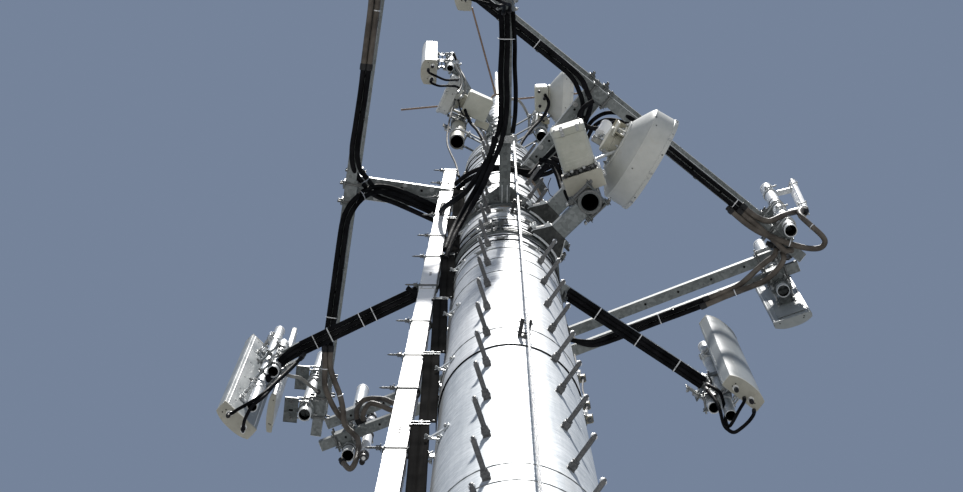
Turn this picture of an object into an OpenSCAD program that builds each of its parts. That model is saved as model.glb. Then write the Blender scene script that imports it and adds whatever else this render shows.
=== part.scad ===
// Monopole cell tower: tapered two-section pole, slotted star mount with three
// panel antennas, triangular sector frame with antennas at its corners, three
// shrouded microwave dishes, cable duct, step pegs and a climbing cable.
// Millimetres, +Z up, origin at the middle of the base flange's underside.

/* [Pole] */
// Outside diameter of the pole at its foot
base_d = 834; // [780:1:900]
// Taper of the outside radius, mm per metre of height
taper = 6.9; // [5:0.1:8]
// Height of the slip joint
slip_z = 14200; // [13000:50:15000]
// Height of the main pole's top
main_z = 23600; // [23300:50:24000]
// Wall of the lower section
wall_low = 9.5; // [8:0.5:12]
// Wall of the upper section
wall_up = 6.4; // [5:0.1:8]

/* [Base flange] */
// Flange diameter
flange_d = 1180; // [1120:10:1300]
// Flange thickness
flange_t = 50; // [38:1:65]
// Anchor hole circle
anchor_pcd = 1040; // [1000:5:1080]
// Anchor hole diameter
anchor_hole = 44; // [36:1:52]
// Number of anchor holes
anchor_n = 12; // [8:1:16]

/* [Levels] */
// Height of the star mount
star_z = 19430; // [19300:10:19500]
// Height of the frame's lower rails
rail_z = 21180; // [21100:10:21250]
// Rise from the lower to the upper rails
rail_rise = 760; // [700:10:800]
// Top of the wide extension pipe
ext1_z = 28300; // [28000:50:28600]
// Top of the narrow extension pipe
ext2_z = 29950; // [29700:50:30100]

/* [Climbing] */
// Pitch of the step pegs in one column
peg_pitch = 762; // [700:1:800]
// Reach of a peg from the pole's surface
peg_reach = 152; // [130:1:220]
// Diameter of a peg
peg_d = 20; // [16:1:22]

/* [Sector frame] */
// Distance from the pole's axis to a face of the frame
face_r = 1055; // [1000:1:1100]
// Half length of a rail
rail_half = 1700; // [1600:10:1710]
// Side of a square rail
rail_w = 72; // [60:1:80]

/* [Hidden] */
$fn = 48;

function rp(z) = base_d/2 - taper*z/1000;            // lower section's outside radius
up_off = wall_up + 0.4;                               // the upper section slides over the lower
function ru(z) = rp(z) + up_off;                      // upper section's outside radius
function pr(z) = z < slip_z ? rp(z) : ru(z);
function pol(a, r, z) = [r*cos(a), r*sin(a), z];
high_z = rail_z + rail_rise;
lap = 1050;

module at(a, r, z) { rotate([0,0,a]) translate([r,0,z]) children(); }
// straight round bar from p to q
module bar(p, q, d, fn=24) {
  v = q-p; L = norm(v);
  translate(p) rotate([0, acos(v[2]/L), atan2(v[1],v[0])]) cylinder(h=L, d=d, $fn=fn);
}
// straight square bar from p to q, side w, one face kept level
module sqbar(p, q, w, h, wall=0) {
  v = q-p; L = norm(v);
  translate(p) rotate([0, -asin(v[2]/L), atan2(v[1],v[0])])
    difference() {
      translate([0,-w/2,-h/2]) cube([L,w,h]);
      if (wall>0) translate([-1,-w/2+wall,-h/2+wall]) cube([L+2,w-2*wall,h-2*wall]);
    }
}
module pipe(x, y, z0, z1, d, t) {
  translate([x,y,z0]) difference() {
    cylinder(h=z1-z0, d=d);
    translate([0,0,-1]) cylinder(h=z1-z0+2, d=d-2*t);
  }
}
function rrect(w, h, r, n=4) = [for (c=[[w/2-r,h/2-r,0],[-w/2+r,h/2-r,90],[-w/2+r,-h/2+r,180],[w/2-r,-h/2+r,270]]) for (i=[0:n]) [c[0]+r*cos(c[2]+90*i/n), c[1]+r*sin(c[2]+90*i/n)]];
module rbox(w, h, l, r=12) { linear_extrude(l) polygon(rrect(w,h,r)); }
// swept tube through route points, smoothed between them
function cr(a,b,c,d,t) = 0.5*((2*b)+(c-a)*t+(2*a-5*b+4*c-d)*t*t+(3*b-a-3*c+d)*t*t*t);
function smooth(p, k) = [for (i=[0:len(p)-2]) for (j=[0:k-1])
   cr(p[max(i-1,0)], p[i], p[i+1], p[min(i+2,len(p)-1)], j/k), p[len(p)-1]];
function tan_(p,i) = let(a = p[min(i+1,len(p)-1)]-p[max(i-1,0)]) a/norm(a);
module cable(route, d, ref=[0.31,0.42,0.85], k=2, n=8) {
  p = smooth(route, k); m = len(p);
  pts = [for (i=[0:m-1]) let(t=tan_(p,i), s0=cross(t,ref), s=s0/norm(s0), u=cross(s,t))
     for (j=[0:n-1]) p[i] + d/2*(cos(360*j/n)*s + sin(360*j/n)*u)];
  faces = concat([[for (j=[0:n-1]) n-1-j]], [[for (j=[0:n-1]) (m-1)*n+j]],
     [for (i=[0:m-2]) for (j=[0:n-1]) [i*n+j, i*n+(j+1)%n, (i+1)*n+(j+1)%n, (i+1)*n+j]]);
  polyhedron(pts, faces);
}

// ---------------------------------------------------------------- pole
module base_flange() color([0.62,0.64,0.63]) difference() {
  union() {
    cylinder(h=flange_t, d=flange_d, $fn=96);
    for (a=[0:360/anchor_n:359]) rotate([0,0,a+180/anchor_n]) translate([base_d/2-2,-8,flange_t-1])
      rotate([90,0,90]) linear_extrude(100) polygon([[0,0],[16,0],[16,120],[0,120]]);
  }
  translate([0,0,-1]) cylinder(h=flange_t+200, d=base_d-2*wall_low-140, $fn=96);
  translate([0,0,flange_t-0.01]) cylinder(h=200, d=base_d, $fn=96);
  for (i=[0:anchor_n-1]) at(i*360/anchor_n, anchor_pcd/2, -1) cylinder(h=flange_t+2, d=anchor_hole, $fn=32);
}
module pole_lower() color([0.70,0.73,0.74]) {
  h0 = flange_t; h1 = slip_z+lap;
  difference() {
    translate([0,0,h0]) cylinder(h=h1-h0, r1=rp(h0), r2=rp(h1), $fn=96);
    translate([0,0,h0-1]) cylinder(h=h1-h0+2, r1=rp(h0)-wall_low, r2=rp(h1)-wall_low, $fn=96);
  }
}
module pole_upper() color([0.72,0.75,0.76]) difference() {
  translate([0,0,slip_z]) cylinder(h=main_z-slip_z, r1=ru(slip_z), r2=ru(main_z), $fn=96);
  translate([0,0,slip_z-1]) cylinder(h=main_z-slip_z+2, r1=ru(slip_z)-wall_up, r2=ru(main_z)-wall_up, $fn=96);
}
module pole_extension() color([0.80,0.82,0.82]) {
  difference() {
    union() {
      translate([0,0,main_z]) cylinder(h=16, d=2*ru(main_z)+24, $fn=64);
      translate([0,0,main_z+16]) cylinder(h=ext1_z-main_z-16, d=219);
      translate([0,0,ext1_z]) cylinder(h=14, d=228);
      translate([0,0,ext1_z+14]) cylinder(h=640, d=150);
      translate([0,0,ext1_z+654]) cylinder(h=ext2_z-ext1_z-654, d=114);
    }
    translate([0,0,main_z+20]) cylinder(h=ext1_z-main_z-24, d=203);
    translate([0,0,ext1_z+18]) cylinder(h=ext2_z-ext1_z-24, d=102);
  }
  for (a=[0:90:270]) rotate([0,0,a]) translate([109,-5,main_z+16]) rotate([90,0,0]) mirror([0,0,1]) linear_extrude(10) polygon([[0,0],[120,0],[0,180]]);
}
module whip_antenna() color([0.93,0.94,0.93]) translate([0,0,ext2_z]) {
  cylinder(h=2300, d=48);
  translate([0,0,2300]) cylinder(h=60, d=62);
  translate([0,0,2360]) cylinder(h=1000, d=38);
}
module whip_radials() color([0.42,0.33,0.28]) {
  translate([0,0,ext2_z-70]) difference() { cylinder(h=60, d=150); translate([0,0,-1]) cylinder(h=62, d=114.6); }
  for (a=[174,264-10,354,74]) at(a, 70, ext2_z-40) rotate([0,90,0]) cylinder(h=875, d=20, $fn=16);
}

// ---------------------------------------------------------------- climbing
// the peg level with the star mount's upper band sits on that band
module peg(a, z, reach=peg_reach) {
  r = pr(z) + (abs(z-star_z-85) < 42 ? 18.5 : 0);
  at(a, r-2, z) rotate([0,90,0]) {
    cylinder(h=34, d=34, $fn=16);
    cylinder(h=reach, d=peg_d, $fn=16);
    translate([0,0,reach-8]) cylinder(h=10, d=25, $fn=16);
  }
}
peg_left_z0 = 15285; peg_right_z0 = 15666;
module step_pegs_left() color([0.50,0.51,0.50]) {
  for (k=[-10:15]) peg(-109.2, peg_left_z0 - k*peg_pitch);
}
// the two steps at the large dish's mount are left out, as on the real pole
module step_pegs_right() color([0.50,0.51,0.50]) {
  for (k=[-9:15]) if (k!=-4 && k!=-3) peg(-55, peg_right_z0 - k*peg_pitch + (k==-5 ? 39 : 0));
}
// the rope runs straight between its two end brackets
cab0 = pol(-84.9, pr(1500)+92, 1500); cab1 = pol(-75.6, pr(22900)+86, 22900);
function cabp(z) = cab0+(cab1-cab0)*(z-1500)/21400;
function caba(z) = atan2(cabp(z)[1], cabp(z)[0]);
function cabo(z) = norm([cabp(z)[0],cabp(z)[1]])-pr(z)+2;
module climb_cable() color([0.80,0.80,0.78]) bar(cab0, cab1, 15, 16);
module climb_brackets() color([0.40,0.41,0.41]) {
  for (z=[1500, 22900]) at(caba(z), pr(z)-2, z-90) {
    translate([0,-40,0]) cube([10,80,180]);
    translate([0,-5,0]) cube([cabo(z)-13,10,180]);
    difference() { translate([cabo(z),0,20]) cylinder(h=140, d=38, $fn=24); translate([cabo(z),0,19]) cylinder(h=142, d=19, $fn=24); }
  }
  for (z=[5200, 9800, 14400, 19000]) at(caba(z), pr(z)-2, z-25) {
    translate([0,-30,0]) cube([10,53,50]);
    translate([0,-30,0]) cube([86,18,50]);
    translate([0,12,0]) cube([87,11,50]);
  }
}

// ---------------------------------------------------------------- cable duct
// The duct stands off the pole's left side and leans in with the taper.
function dx(z) = -(518 - 10*(z-13000)/1000);     // left face of the outer duct
duct_top = 22900; duct_bot = 2600;
module duct_outer() color([0.90,0.91,0.90])
  for (i=[0:13]) let(z0=duct_bot+i*1450, z1=min(z0+1450, duct_top), x0=dx(z0), s=i%2==0?0:1.2)
    translate([x0,-115,z0]) multmatrix([[1,0,0.010,0],[0,1,0,0],[0,0,1,0]])
      difference() {
        translate([s,s,0]) cube([90-2*s,75-2*s,z1-z0]);
        translate([4,4,-1]) cube([82,67,z1-z0+2]);
      }
module duct_covers() color([0.20,0.20,0.19])
  for (i=[0:12]) let(z1=21650-i*1650, z0=z1-1640) if (z0 > 900)
    difference() {
      translate([dx(z1)+92, -128, z0]) multmatrix([[1,0,-0.008,13.1],[0,1,0,0],[0,0,1,0]])
        difference() {
          cube([75,68,1640]);
          translate([4,4,-1]) cube([67,70,1642]);
          translate([35.5,-1,-1]) cube([4,4,1642]);
        }
      translate([0,0,z0-10]) cylinder(h=1660, r1=pr(z0)+6.5, r2=pr(z1)+6.5, $fn=96);
    }
module duct_brackets() color([0.75,0.77,0.77])
  for (i=[0:10]) let(z=19120-i*1530, x0=dx(z)+150) {
    translate([x0,-70,z]) cube([-pr(z)-x0+20,10,36]);
    translate([x0,-62,z]) rotate([90,0,0]) mirror([0,0,1]) linear_extrude(6) polygon([[0,0],[-pr(z)-x0+14,100],[-pr(z)-x0+14,116],[0,14]]);
  }
hook_z = [22750,21956,21141,20183,19199,18291,17197,16000,15024,14193,12914,11850,10800,9750,8700,7650,6600,5550,4500,3450];
module duct_clamps() color([0.35,0.35,0.34])
  for (z=hook_z) let(x0=dx(z)) {
    bar([x0-46,-121,z],[x0+96,-121,z],10,12);
    translate([x0-30,-121,z]) rotate([0,90,0]) cylinder(h=14,d=26,$fn=6);
    bar([x0+96,-126,z],[x0+96,-78,z],10,12);
    translate([x0-10,-116,z-14]) cube([9,84,28]);
  }
// straps and clamp bands round the pole, each [height, depth, thickness]
straps = [[17400,14,7],[17640,14,8],[17740,16,9],[18050,130,26],[18370,16,6],[18500,16,6],[18790,24,8],[19060,14,7],
  [20150,24,8],[20420,14,7],[20750,24,9],[22300,16,7],[22480,24,8],[22820,16,7],[23000,24,9],[23220,16,7],[23380,20,8]];
module pole_straps() color([0.45,0.46,0.45])
  for (b=straps) translate([0,0,b[0]]) difference() {
    cylinder(h=b[1], r=pr(b[0])+b[2], $fn=96);
    translate([0,0,-1]) cylinder(h=b[1]+2, r=pr(b[0])+0.2, $fn=96);
  }

// ---------------------------------------------------------------- star mount
az_front = -90; az_right = 33; az_left = 153.5;
arm_w = 70;
module star_collar() color([0.30,0.32,0.32]) {
  r = pr(star_z-100);
  for (dz=[-110, 60]) translate([0,0,star_z+dz]) difference() {
    cylinder(h=50, r=r+16, $fn=96); translate([0,0,-1]) cylinder(h=52, r=r+0.3, $fn=96);
  }
  for (a=[az_front,az_right,az_left]) for (s=[-42,42]) rotate([0,0,a+s]) translate([r+4,-30,star_z-110]) cube([34,16,220]);
}
module star_arm(a, r1) {
  r = pr(star_z-40);
  gus = [[r-110,200],[r-12,190],[r+108,36],[r+108,-36],[r-12,-190],[r-110,-200]];
  at(a,0,star_z) difference() {
    union() {
      difference() { translate([r+16,-arm_w/2,-arm_w/2]) cube([r1-r-16,arm_w,arm_w]);
        translate([r+30,-arm_w/2+5,-arm_w/2+5]) cube([r1-r,arm_w-10,arm_w-10]); }
      translate([0,0,arm_w/2]) linear_extrude(10) polygon(gus);
      translate([r+16,-60,-arm_w/2]) cube([12,120,arm_w]);
    }
    translate([0,0,-100]) cylinder(h=200, r=r+16.3, $fn=96);
  }
}
module star_arm_front() color([0.30,0.33,0.33]) star_arm(az_front, 1585);
module star_arm_right() color([0.30,0.33,0.33]) star_arm(az_right, 1530);
module star_arm_left() color([0.33,0.36,0.36]) star_arm(az_left, 1556);

// round tubes from point to point, hollow, with a domed cap on top
module mast(p, q, d, t, cap=true) {
  v = q-p; L = norm(v);
  translate(p) rotate([0, acos(v[2]/L), atan2(v[1],v[0])]) {
    difference() { cylinder(h=L, d=d); translate([0,0,-1]) cylinder(h=L+2, d=d-2*t); }
    if (cap) { translate([0,0,L]) cylinder(h=5,d=d+3); translate([0,0,L+5]) cylinder(h=10,d1=d-1,d2=d*0.86); translate([0,0,L+15]) cylinder(h=10,d1=d*0.86,d2=d*0.55); }
  }
}
mf = [[-95,-1655,18700],[-95,-1668,21000]];
mr = [[1373,879,18660],[1377,854,20930]];
ml = [[-1494,828,18500],[-1505,791,20980]];
sf = [0,-1622,18950]; sr = [1294,888,18950]; sl = [-1417,732,19140];
module mast_pipes_star() color([0.74,0.77,0.77]) {
  mast(mf[0],mf[1],73,5.2); mast(mr[0],mr[1],73,5.2); mast(ml[0],ml[1],66,5.2);
  for (q=[sf,sr,sl]) mast(q,[q[0],q[1],q[2]+960],76,6,false);
}
// panel antenna: flat back at x=0, radome towards +x, side walls s deep, arched front
function panel_prof(w,d,s,g=0) = concat([[-g,-w/2-g]], [for (i=[0:10]) let(t=-1+i/5) [s+g+(d-s)*(1-pow(abs(t),2.4)), t*(w/2+g)]], [[-g,w/2+g]]);
module panel(w, d, s, h) {
  translate([0,0,16]) linear_extrude(h-32) polygon(panel_prof(w,d,s));
  for (z=[0,h-16]) translate([0,0,z]) linear_extrude(16) polygon(panel_prof(w,d,s,1.5));
}
// stands its child at p, and leans it so that the top, h higher, is off by l
module lean(p, l, h) multmatrix([[1,0,l[0]/h,p[0]],[0,1,l[1]/h,p[1]],[0,0,1,p[2]],[0,0,0,1]]) children();
pr_p = [1421,771,18660]; pl_p = [-1569,901,18600]; pf_p = [-213,-1663,18700];
module panel_right() color([0.72,0.74,0.71]) lean(pr_p,[14,-20],2110) rotate([0,0,-53]) panel(266,106,74,2110);
module panel_left() color([0.72,0.74,0.71]) lean(pl_p,[-20,-5],2350) rotate([0,0,132.8]) panel(257,106,78,2350);
module panel_front() color([0.72,0.74,0.71]) lean(pf_p,[-18,2],2110) rotate([0,0,183]) panel(266,106,74,2110);
// clamp round an upright tube of diameter d at p, arm of length reach towards az a
module pipe_clamp(p, d, a, reach, w=44) translate(p) rotate([0,0,a]) {
  difference() {
    union() { translate([-d/2-14,-d/2-22,-22]) cube([14+d/2-4,d+44,44]); translate([4,-d/2-22,-22]) cube([d/2+10,d+44,44]); }
    translate([0,0,-30]) cylinder(h=60,d=d+3);
  }
  for (s=[-1,1]) translate([-d/2-30,s*(d/2+13),0]) rotate([0,90,0]) cylinder(h=d+62,d=13,$fn=16);
  translate([d/2+13,-w/2,-16]) cube([reach-d/2-13,w,32]);
}
function mix(p,q,z) = p+(q-p)*(z-p[2])/(q[2]-p[2]);
module panel_brackets() color([0.62,0.64,0.63]) {
  for (z=[19060,20420]) pipe_clamp(mix(mr[0],mr[1],z),73,-53,z>20000?92:114);
  for (z=[19000,20560]) pipe_clamp(mix(ml[0],ml[1],z),66,132.8,102);
  for (z=[19080,20430]) pipe_clamp(mix(mf[0],mf[1],z),73,183,114);
  for (m=[[mr,sr],[ml,sl],[mf,sf]]) for (z=[19150+(m[1]==sl?60:0),19760]) {
    c = (mix(m[0][0],m[0][1],z)+[m[1][0],m[1][1],z])/2; v = mix(m[0][0],m[0][1],z)-[m[1][0],m[1][1],z];
    translate(c) rotate([0,0,atan2(v[1],v[0])]) for (s=[-1,1]) translate([-95,s*46-5,-45]) cube([190,10,90]);
    translate(c) rotate([0,0,atan2(v[1],v[0])]) for (x=[-82,82]) for (dz=[-28,28]) translate([x,-64,dz]) rotate([-90,0,0]) cylinder(h=128,d=13,$fn=16);
  }
}

// ---------------------------------------------------------------- sector frame
nrm = [187.5, 308.1, 68.3];
// half lengths of each face's rails, against and along the face's direction
ends = [[1703,1765],[1703,1787],[1766,1748]];
module rail(k, z) rotate([0,0,nrm[k]]) translate([face_r-rail_w/2,-ends[k][0],z-rail_w/2])
  difference() { cube([rail_w,ends[k][0]+ends[k][1],rail_w]); translate([5,-1,5]) cube([rail_w-10,ends[k][0]+ends[k][1]+2,rail_w-10]); }
module rail_a_low()  color([0.42,0.45,0.44]) rail(0, rail_z);
module rail_a_high() color([0.42,0.45,0.44]) rail(0, high_z);
module rail_b_low()  color([0.42,0.45,0.44]) rail(1, rail_z);
module rail_b_high() color([0.42,0.45,0.44]) rail(1, high_z);
module rail_c_low()  color([0.42,0.45,0.44]) rail(2, rail_z);
module rail_c_high() color([0.42,0.45,0.44]) rail(2, high_z);
arm_z = rail_z+380;                                   // the arms' own level, half way between the rails
module frame_collar() color([0.32,0.34,0.34]) {
  z = arm_z-60; r = pr(z);
  translate([0,0,z]) difference() { cylinder(h=120, r=r+14, $fn=96); translate([0,0,-1]) cylinder(h=122, r=r+0.3, $fn=96); }
  for (a=[7.5,127.5,247.5]) for (s=[-26,12]) rotate([0,0,a]) translate([r+4,s,z]) cube([44,14,120]);
  // lug plates under and over each arm's root
  for (a=nrm) rotate([0,0,a]) for (dz=[21,91]) difference() {
    translate([r-5,-75,z+dz]) cube([405-r,150,8]);
    translate([0,0,z]) cylinder(h=130, r=r+8, $fn=96);
  }
}
module frame_arm(k) rotate([0,0,nrm[k]]) {
  r = pr(arm_z-60)+14; e = face_r-rail_w/2-12;
  for (s=[-40,40]) sqbar([r-1,s,arm_z],[e+0.5,s,arm_z],76,60,5);
  translate([e,-90,rail_z-40]) cube([12,180,high_z-rail_z+120]);
}
module frame_arm_a() color([0.36,0.39,0.38]) frame_arm(0);
module frame_arm_b() color([0.40,0.43,0.43]) frame_arm(1);
module frame_arm_c() color([0.36,0.39,0.38]) frame_arm(2);

// mast pipes on the frame: foot, top, face
function fpos(k,r,s,z) = [r*cos(nrm[k])-s*sin(nrm[k]), r*sin(nrm[k])+s*cos(nrm[k]), z];
fp = [[[-1328,1345,20850],[-1318,1320,22950],0], [[-1034,1634,20900],[-1030,1624,23230],2],
      [[1945,51,20900],[1975,12,22950],1], [[1906,462,20900],[1935,436,22950],2],
      [fpos(0,1140,1545,20880),fpos(0,1155,1550,22950),0], [fpos(1,1140,-1520,20880),fpos(1,1155,-1524,22950),1]];
module mast_pipes_frame() color([0.82,0.84,0.83]) for (m=fp) mast(m[0],m[1],89,5.5);
// clamps that hold each mast pipe to both rails
module frame_clamps() color([0.50,0.52,0.51])
  for (m=fp) for (z=[rail_z, high_z]) let(c=mix(m[0],m[1],z), n=nrm[m[2]], s=-c[0]*sin(n)+c[1]*cos(n), g=c[0]*cos(n)+c[1]*sin(n)-face_r-rail_w/2)
    rotate([0,0,n]) translate([face_r+rail_w/2, s, z]) {
      difference() {
        union() { translate([0.4,-80,-60]) cube([10,160,120]); translate([10,-52,-22]) cube([g-4,104,44]); }
        translate([g,0,-80]) cylinder(h=160,d=93);
      }
      translate([-rail_w-10.4,-80,-60]) cube([10,160,120]);
      for (sy=[-68,68]) for (sz=[-48,48]) translate([-rail_w-26,sy,sz]) rotate([0,90,0]) cylinder(h=rail_w+56,d=15,$fn=16);
      for (sy=[-59,59]) translate([8,sy,0]) rotate([0,90,0]) cylinder(h=g+62,d=11,$fn=16);
      translate([g+48,-74,-12]) cube([8,148,24]);
    }
// panels on the frame: [foot of the back's middle, azimuth, width, depth, side depth, height, lean]
tp = [[[-1503,1249,20400],187,258,45,30,2400,[-18,-40]],
      [[1926,575,20500],70.6,260,64,34,1480,[14,-12]],
      [fpos(1,1262,-1520,20500),308,258,64,34,1480,[12,-10]]];
module frame_panels() color([0.80,0.82,0.80])
  for (t=tp) lean(t[0],t[6],t[5]) rotate([0,0,t[1]]) panel(t[2],t[3],t[4],t[5]);
// slim antennas: [foot, top, azimuth, width, depth], and a tube
sp = [[[2104,-3,21500],[2160,-34,22900],15,72,44], [[-1160,-1700,21420],[-1185,-1745,22850],250,72,44]];
module slim_antennas() color([0.86,0.87,0.85]) {
  for (t=sp) lean(t[0],t[1]-t[0],t[1][2]-t[0][2]) rotate([0,0,t[2]]) translate([-t[4]/2,0,0]) panel(t[3],t[4],t[4]*0.7,t[1][2]-t[0][2]);
  translate([-918,1605,20760]) cylinder(h=1420,d=66);
  translate([-918,1605,22180]) cylinder(h=18,d1=64,d2=40);
  translate([-918,1605,20700]) cylinder(h=60,d=50);
}
module antenna_brackets() color([0.55,0.57,0.56]) {
  // slim panel to its pipe, far left
  for (z=[21000,22120]) let(c=mix(fp[0][0],fp[0][1],z)) {
    pipe_clamp(c,89,185,138,60);
    translate([c[0]-146,c[1]-100,z-150]) cube([6,130,300]);
    translate([c[0]-146,c[1]-100,z-150]) cube([64,6,300]);
  }
  // tube antenna to the pipe beside it
  for (z=[21420,22020]) let(c=mix(fp[1][0],fp[1][1],z)) difference() {
    translate([c[0]-58,c[1]-72,z-20]) cube([188,110,40]);
    translate([c[0],c[1],z-30]) cylinder(h=60,d=92);
    translate([-918,1605,z-30]) cylinder(h=60,d=66.4);
  }
  // panels on the right and near corners
  for (z=[20960,21720]) { pipe_clamp(mix(fp[3][0],fp[3][1],z+(z<21000?40:0)),89,70.6,108,120); pipe_clamp(mix(fp[5][0],fp[5][1],z+(z<21000?40:0)),89,308,110,120); }
  // slim antennas to their pipes
  for (k=[[0,2],[1,4]]) for (z=[21640,22620]) let(c=mix(fp[k[1]][0],fp[k[1]][1],z), t=mix(sp[k[0]][0],sp[k[0]][1],z), v=t-c, L=norm(v))
    pipe_clamp(c,89,atan2(v[1],v[0]),L-16,36);
}

// ---------------------------------------------------------------- dishes
// shrouded dish, its front's middle at the origin, looking along +x
module dish(d, sh, cone, hub) rotate([0,90,0]) rotate_extrude($fn=72)
  polygon([[0,-sh-cone],[hub,-sh-cone],[hub+(d/2-hub)*0.45,-sh-cone*0.72],[d/2-16,-sh-cone*0.22],[d/2-7,-sh],[d/2-4,-26],[d/2,-26],[d/2,-2],[d/2-12,3],[d*0.3,7],[0,9]]);
az_dl = 30.2;
dl_c = [917,-537,19500];
module dish_large() color([0.74,0.76,0.74]) translate(dl_c) rotate([0,0,az_dl]) dish(640, 157, 87, 170);
dp = [480,-480];
module dish_large_mount() color([0.33,0.35,0.34]) {
  L = norm(dp);
  pipe(dp[0],dp[1],18050,20500,114,6);
  for (z=[18120,19200]) {
    r = pr(z-60);
    at(-45, 0, z) difference() {
      union() {
        translate([r-20,-52,-52]) cube([L-57-r+18,104,104]);
        translate([0,0,-58]) linear_extrude(116) polygon([[r-20,-112],[r+30,-112],[r+122,-58],[r+122,58],[r+30,112],[r-20,112]]);
      }
      translate([0,0,-80]) cylinder(h=160, r=r+28, $fn=96);
      translate([L,0,-80]) cylinder(h=160, d=117);
      translate([r+140,-42,-80]) cube([L-57-r-190,84,160]);
    }
    at(-45,0,z) for (x=[L-66,L+58]) translate([x,-88,-50]) cube([9,176,100]);
    at(-45,0,z) for (y=[-74,74]) for (dz=[-30,30]) translate([L-84,y,dz]) rotate([0,90,0]) cylinder(h=168,d=15,$fn=16);
  }
  // curved saddle against the pole
  at(-45,0,19200) translate([0,0,-70]) rotate([0,0,-24]) rotate_extrude(angle=48,$fn=96) translate([pr(19130)+0.4,0]) square([27,140]);
}
module dish_large_radio() color([0.72,0.71,0.64]) {
  // radio, bracket round the pipe, bracket plate and coupling at the dish's back
  translate([384,-777,18190]) rotate([0,0,-108.4]) rbox(256,199,307,41);
  difference() {
    translate([452,-579,18190]) rotate([0,0,-19.7]) union() {
      translate([-115,-54,0]) cube([230,108,270]);
      translate([-60,-90,40]) cube([120,60,190]);
    }
    translate([dp[0],dp[1],18100]) cylinder(h=500,d=116);
  }
  translate(dl_c) rotate([0,0,az_dl]) rotate([0,90,0]) translate([0,0,-244-88]) cylinder(h=87,d=180);
  translate(dl_c) rotate([0,0,az_dl]) translate([-262,-190,-110]) cube([17,300,220]);
  translate([500,-600,19300]) rotate([0,0,-28]) cube([150,16,230]);
}
module dish_small() color([0.74,0.76,0.74]) translate([-465,-447,25600]) rotate([0,0,203.3]) dish(345, 92, 44, 80);
sm_p = [-343,-171];
module dish_small_mount() color([0.66,0.68,0.64]) {
  pipe(sm_p[0],sm_p[1],24300,26050,114,6);
  for (z=[24700,25900]) difference() { rotate([0,0,26.5-180]) translate([80,-48,z-40]) cube([360,96,80]); translate([0,0,z-50]) cylinder(h=100,d=222); translate([sm_p[0],sm_p[1],z-50]) cylinder(h=100,d=117); }
  difference() { translate([-395,-400,25540]) cube([100,260,120]); translate([sm_p[0],sm_p[1],25500]) cylinder(h=200,d=116); translate([-465,-447,25600]) rotate([0,0,203.3]) rotate([0,90,0]) translate([0,0,-133]) cylinder(h=240,d=390); }
  translate([-188,-348,25400]) rotate([0,0,23.5]) rbox(214,194,250,18);
  translate([-300,-300,25480]) cube([60,40,120]);
}
module dish_rear() color([0.66,0.68,0.69]) translate([598,-406,25500]) rotate([0,0,2]) dish(500, 90, 100, 120);
rr_p = [330,-190];
module dish_rear_mount() color([0.60,0.62,0.60]) {
  pipe(rr_p[0],rr_p[1],24600,26500,89,5);
  for (z=[24900,26200]) difference() { rotate([0,0,-30]) translate([80,-42,z-30]) cube([340,84,60]); translate([0,0,z-40]) cylinder(h=80,d=222); translate([rr_p[0],rr_p[1],z-40]) cylinder(h=80,d=92); }
  difference() { translate([300,-270,25420]) cube([100,90,160]); translate([rr_p[0],rr_p[1],25390]) cylinder(h=220,d=92); }
  translate([341,-423,25340]) rotate([0,0,88]) rbox(206,108,300,18);
}
module sector_small() color([0.90,0.91,0.89]) {
  lean([-520,-662,25000],[-36,0],2200) rotate([0,0,183]) panel(200,130,96,2200);
  pipe(-420,-640,25740,27150,60,4);
  for (z=[[25800,26000],[26750,26750]]) {
    difference() { bar([-55,-84,z[0]],[-394,-600,z[1]],48); translate([0,0,z[0]-70]) cylinder(h=150, d=220); }
    pipe_clamp([-420,-640,z[1]+70],60,184,z[1]<26500?117:130,50);
    difference() { translate([-466,-686,z[1]-38]) cube([92,92,76]); translate([-420,-640,z[1]-50]) cylinder(h=100,d=60.4); }
  }
}

// ---------------------------------------------------------------- cables
module coax_star() color([0.08,0.08,0.09]) {
  cable([[409,233,19378],[582,346,19375],[754,458,19380],[927,570,19376],[1100,682,19381],[1273,794,19378]],28,k=1);
  cable([[394,256,19378],[567,368,19375],[740,480,19380],[912,593,19376],[1085,705,19381],[1258,817,19378]],28,k=1);
  cable([[379,279,19378],[552,391,19375],[725,503,19380],[898,615,19376],[1071,727,19381],[1243,840,19378]],28,k=1);
  cable([[-487,279,19378],[-637,353,19375],[-788,428,19380],[-938,503,19376],[-1088,578,19381],[-1239,653,19378]],28,k=1);
  cable([[-501,250,19378],[-652,325,19375],[-802,400,19380],[-952,475,19376],[-1103,550,19381],[-1253,625,19378]],28,k=1);
  cable([[-515,221,19378],[-666,296,19375],[-816,371,19380],[-966,446,19376],[-1117,521,19381],[-1267,596,19378]],28,k=1);
  cable([[-38,-1500,19372],[-30,-1300,19374],[-36,-1100,19376],[-30,-950,19374],[-34,-800,19372],[-60,-700,19340],[-110,-560,19250],[-170,-440,19100],[-240,-330,18950],[-310,-230,18700],[-352,-160,18300]],32,k=1);
  cable([[0,-1500,19370],[6,-1300,19372],[2,-1100,19374],[8,-950,19374],[-2,-800,19370],[-30,-680,19320],[-90,-540,19200],[-150,-420,19030],[-225,-310,18850],[-300,-210,18550],[-345,-130,18150]],32,k=1);
  cable([[36,-1490,19375],[50,-1300,19400],[52,-1150,19440],[60,-1000,19420],[58,-850,19400],[44,-740,19380]],28,k=1);
}
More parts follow.
